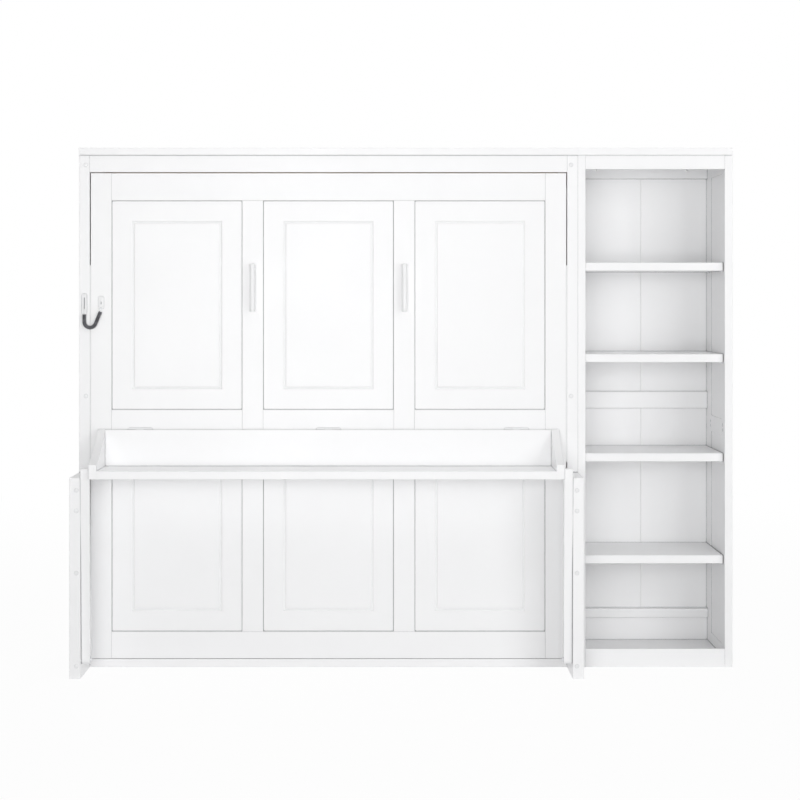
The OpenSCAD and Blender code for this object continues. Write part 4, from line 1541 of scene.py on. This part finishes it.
@dataclass
class SecurityChain:
    """The slotted track, its button, the padded chain and the anchor on the bed front."""

    track_body: str = "cabinet"
    button_body: str = "chain_slider"
    anchor_body: str = "bed"
    track_t: float = 4.5 * MM
    track_corner: float = 4 * MM
    track_edge: float = 0.9 * MM
    track_screw: float = 3.6 * MM
    track_screw_in: float = 7.2 * MM
    track_screw_rise: float = 0.1
    slot_half: float = 2 * MM
    slot_end: float = 15 * MM
    slot_lip: Table = mm((0, -0.4), (0.15, -0.12), (0.4, 0), (1.5, 0))
    channel: float = 4 * MM
    button: Table = mm(
        (4.4, 4.1), (4.9, 3.8), (4.9, 2.1), (4.4, 1.9), (1.7, 1.9), (1.7, -0.5),
        (3.7, -0.5), (4, -0.8), (4, -2), (3.6, -2.5), (2.6, -2.85), (1.2, -3),
    )
    tail_half: float = 2.5 * MM
    tail_corner: float = 2.4 * MM
    tail_back: float = -0.9 * MM
    tail_face: float = -2.3 * MM
    tail_edge: float = 0.3 * MM
    tail_hole: float = 1.5 * MM
    tail_hole_up: float = 3 * MM
    tail_hole_side: Table = mm((-2.3, -0.2), (-2.1, 0), (-0.9, 0))
    wire: float = 1 * MM
    link_l: float = 13 * MM
    link_w: float = 7 * MM
    link_lap: float = 2.4 * MM
    link_steps: int = 6
    button_links: int = 4
    anchor_links: int = 2
    anchor_half: float = 26 * MM
    anchor_t: float = 2.5 * MM
    anchor_corner: float = 5 * MM
    anchor_edge: float = 0.7 * MM
    anchor_screw: float = 2.9 * MM
    anchor_screw_rise: float = 0.15
    anchor_screws_at: Table = mm((-6.5, 20), (6.5, 20), (-6.5, -17), (6.5, -17))
    window_half: Flat = (2.2 * MM, 6 * MM)
    window_up: float = -2 * MM
    window_edge: Table = mm((0, -0.3), (0.3, 0))
    stud: Table = mm((2.4, 0.3), (2.4, -0.9), (3.7, -1), (4, -1.4), (3.3, -2))
    stud_up: float = 10 * MM
    staple_up: float = 11 * MM
    staple_half: float = 3.2 * MM
    staple_wire: float = 1.2 * MM
    staple_root: float = 1 * MM
    staple_in: float = 2 * MM
    staple_steps: int = 8
    bend_r: float = 24.5 * MM
    bend_steps: int = 24
    fall_steps: int = 8
    rise_steps: int = 12
    hang: float = 8 * MM
    mouth: float = 4 * MM
    mouth_depth: int = 3
    cuff: float = 0.8 * MM
    sleeve_top: float = 0.5 * MM
    # Each is a depth as a share of the radius, the radians along the sleeve and the angle that it starts at.
    pinches: tuple[Point, ...] = ((0.012, 17.0, 0.0), (0.01, 43.0, 1.0))
    fullness: float = 0.985

    def build(self) -> None:
        """Builds the track, the button, the anchor, the sleeve and the links that show."""
        self._track()
        self._button()
        self._anchor()
        self._staple()
        self._sleeve()

    def _track(self) -> None:
        """A channel plate with a long slot, rounded corners and two screws."""
        box = Box.of("chain_track")
        at = Vector((box.centre.x, box.hi.y, box.centre.z))
        half_u, half_v = box.size.x / 2, box.size.z / 2
        face = -self.track_t
        lip = shifted(self.slot_lip, face)
        slot = rounded(self.slot_half, half_v - self.slot_end, self.slot_half)
        cut = Cut(slot, [*lip, (lip[-1][0], -self.channel), (0.0, -self.channel)])
        shape = Shape()
        side = round_edge(0.0, face, self.track_edge)
        shape.plate(rounded(half_u, half_v, self.track_corner), side, at, Axis.Y, [cut])
        for way in (1, -1):
            screw = at + Vector((0.0, face, way * (half_v - self.track_screw_in)))
            shape.screw(self.track_screw, screw, Axis.Y, -1, self.track_screw_rise)
        shape.piece("chain_track_plate", PAINTED_METAL, self.track_body, ["chain_track"])

    def _button(self) -> None:
        """The stepped button with its tail, and the links below it that the sleeve hides at rest."""
        box = Box.of("chain_slider")
        track = Box.of("chain_track")
        at = Vector((track.centre.x, track.lo.y, track.lo.z + self.slot_end + self.slot_half * 2))
        shape = Shape()
        shape.turned(self.button, at, Axis.Y)
        half = (at.z - box.lo.z) / 2
        hole = circle(self.tail_hole, v=self.tail_hole_up - half, steps=16)
        outline = rounded(self.tail_half, half, self.tail_corner)
        side = round_edge(self.tail_back, self.tail_face, self.tail_edge)
        tail = Vector((at.x, at.y, at.z - half))
        shape.plate(outline, side, tail, Axis.Y, [Cut(hole, self.tail_hole_side)])
        shape.piece("chain_button", PAINTED_METAL, self.button_body, ["chain_slider"])
        links = Shape()
        top = Vector((at.x, Box.of("chain_sleeve").centre.y, box.lo.z + self.tail_hole_up))
        self._links(links, top, self.button_links, flat=False)
        links.piece("chain_links_slider", ZINC, self.button_body)

    def _links(self, shape: Shape, top: Vector, count: int, flat: bool) -> None:
        """Links that hang in each other from a point.

        Args:
            shape: The shape to add them to.
            top: The inside of the first one's upper end.
            count: How many there are.
            flat: Whether the first one lies along the bed front. Each next one is turned the other way.
        """
        bow = (self.link_w - 2 * self.wire) / 2
        straight = self.link_l - 2 * self.wire - 2 * bow
        for i in range(count):
            across = Vector((1.0, 0.0, 0.0)) if flat == (i % 2 == 0) else Vector((0.0, 1.0, 0.0))
            upper = top.z - i * (self.link_l - self.link_lap) - bow
            path = []
            for end, middle in ((0.0, upper), (math.pi, upper - straight)):
                centre = Vector((top.x, top.y, middle))
                for step in range(self.link_steps + 1):
                    angle = end + math.pi * step / self.link_steps
                    rise = Vector((0.0, 0.0, bow * math.sin(angle)))
                    path.append(centre + across * (bow * math.cos(angle)) + rise)
            shape.tube(path, [(k, self.wire) for k in range(len(path))], ring=True, steps=10)

    def _anchor(self) -> None:
        """The anchor plate with its window, its screws and a headed stud."""
        box = Box.of("chain_anchor")
        at = Vector((box.centre.x, box.hi.y, box.hi.z - self.anchor_half))
        face = -self.anchor_t
        half_u, half_v = self.window_half
        window = rounded(half_u, half_v, half_u, v=self.window_up)
        cut = Cut(window, [*shifted(self.window_edge, face), (0.0, 0.0)])
        outline = rounded(box.size.x / 2, self.anchor_half, self.anchor_corner)
        shape = Shape()
        shape.plate(outline, round_edge(0.0, face, self.anchor_edge), at, Axis.Y, [cut])
        for x, z in self.anchor_screws_at:
            shape.screw(self.anchor_screw, at + Vector((x, face, z)), Axis.Y, -1, self.anchor_screw_rise)
        shape.turned(self.stud, at + Vector((0.0, face, self.stud_up)), Axis.Y, steps=24)
        shape.piece("chain_anchor_plate", PAINTED_METAL, self.anchor_body, ["chain_anchor"])

    def _staple(self) -> None:
        """The staple in the anchor plate that holds the chain's last links."""
        box = Box.of("chain_anchor")
        seat, foot = box.hi.y, box.lo.z + self.staple_up
        x, half, root = box.centre.x, self.staple_half, box.hi.y - self.staple_root
        out = Box.of("chain_sleeve").centre.y - seat
        turns = [math.pi * i / self.staple_steps for i in range(self.staple_steps + 1)]
        bow = [(x - half * math.cos(a), seat + out + self.staple_in - half * math.sin(a)) for a in turns]
        path = [Vector((u, v, foot)) for u, v in ((x - half, root), *bow, (x + half, root))]
        shape = Shape()
        shape.tube(path, [(i, self.staple_wire) for i in range(len(path))])
        self._links(shape, Vector((x, seat + out, foot + self.staple_in)), self.anchor_links, flat=True)
        shape.piece("chain_staple", ZINC, self.anchor_body)

    def _sleeve(self) -> None:
        """The padded sleeve: a straight fall, a hanging bend and a rise to the anchor, with open mouths."""
        box = Box.of("chain_sleeve")
        anchor = Box.of("chain_anchor")
        track = Box.of("chain_track")
        radius = box.size.y / 2
        left = track.centre.x
        bend = Vector((left + self.bend_r, box.centre.y, box.lo.z + radius + self.bend_r))
        end = Vector((anchor.centre.x, box.centre.y, anchor.hi.z - 2 * self.anchor_half - self.hang))
        to_end = end - bend
        tangent = math.atan2(to_end.z, to_end.x) - math.acos(self.bend_r / to_end.length)
        top = Vector((left, box.centre.y, track.lo.z - self.sleeve_top))
        path = self._stretch(top, Vector((left, box.centre.y, bend.z)), self.fall_steps)
        for i in range(self.bend_steps + 1):
            angle = math.pi + (math.pi + tangent) * i / self.bend_steps
            path.append(bend + Vector((math.cos(angle), 0.0, math.sin(angle))) * self.bend_r)
        path += self._stretch(path[-1], end, self.rise_steps)[1:-1]
        last = len(path) - 1
        skin = [(i, radius * self._fullness(i / last)) for i in range(1, last)]
        rim = radius - self.cuff
        start = [(self.mouth_depth, self.mouth), (0, self.mouth), (0, rim)]
        finish = [(last, rim), (last, self.mouth), (last - self.mouth_depth, self.mouth)]
        shape = Shape()
        shape.tube(path, [*start, *skin, *finish], steps=28)
        shape.piece("chain_padded_sleeve", SLEEVE, self.anchor_body, ["chain_sleeve"])

    def _fullness(self, share: float) -> float:
        """How full the sleeve is at a share of its length: a little pinched and uneven along the bend."""
        pinched = sum(depth * math.sin(along * share + start) for depth, along, start in self.pinches)
        return self.fullness - pinched

    @staticmethod
    def _stretch(start: Vector, end: Vector, steps: int) -> list[Vector]:
        """Points of a straight line, both ends included."""
        return [start.lerp(end, i / steps) for i in range(steps + 1)]


@dataclass
class DeskUnit:
    """The desk that hangs on the bed front."""

    boards: Names = ("desk_board", "desk_back", "desk_cheek_left", "desk_cheek_right")

    def build(self) -> None:
        """Dresses the desk."""
        dress(LIGHTLY_SHADED_BOARD, *self.boards)
        dress(ZINC, "desk_pivot_studs")


@dataclass
class SideArms:
    """The two arms that keep the desk level."""

    arms: Names = ("arm_left", "arm_right")

    def build(self) -> None:
        """Dresses the arms."""
        dress(PAINTED_BOARD, *self.arms)


def corners(box: tuple[Vector, Vector]) -> list[list[float]]:
    """A box as plain lists."""
    return [list(corner) for corner in box]


def main() -> None:
    """Builds the studio and every sub-assembly."""
    Studio().build()
    bed = (BedCabinet(), Bookcase(), BedFront(), BedFrame())
    fittings = (HandleLegs(), SecurityChain(), DeskUnit(), SideArms())
    for part in (*bed, *fittings):
        part.build()


if __name__ == "__main__":
    logging.basicConfig(level=logging.INFO, format="%(name)s: %(message)s")
    main()
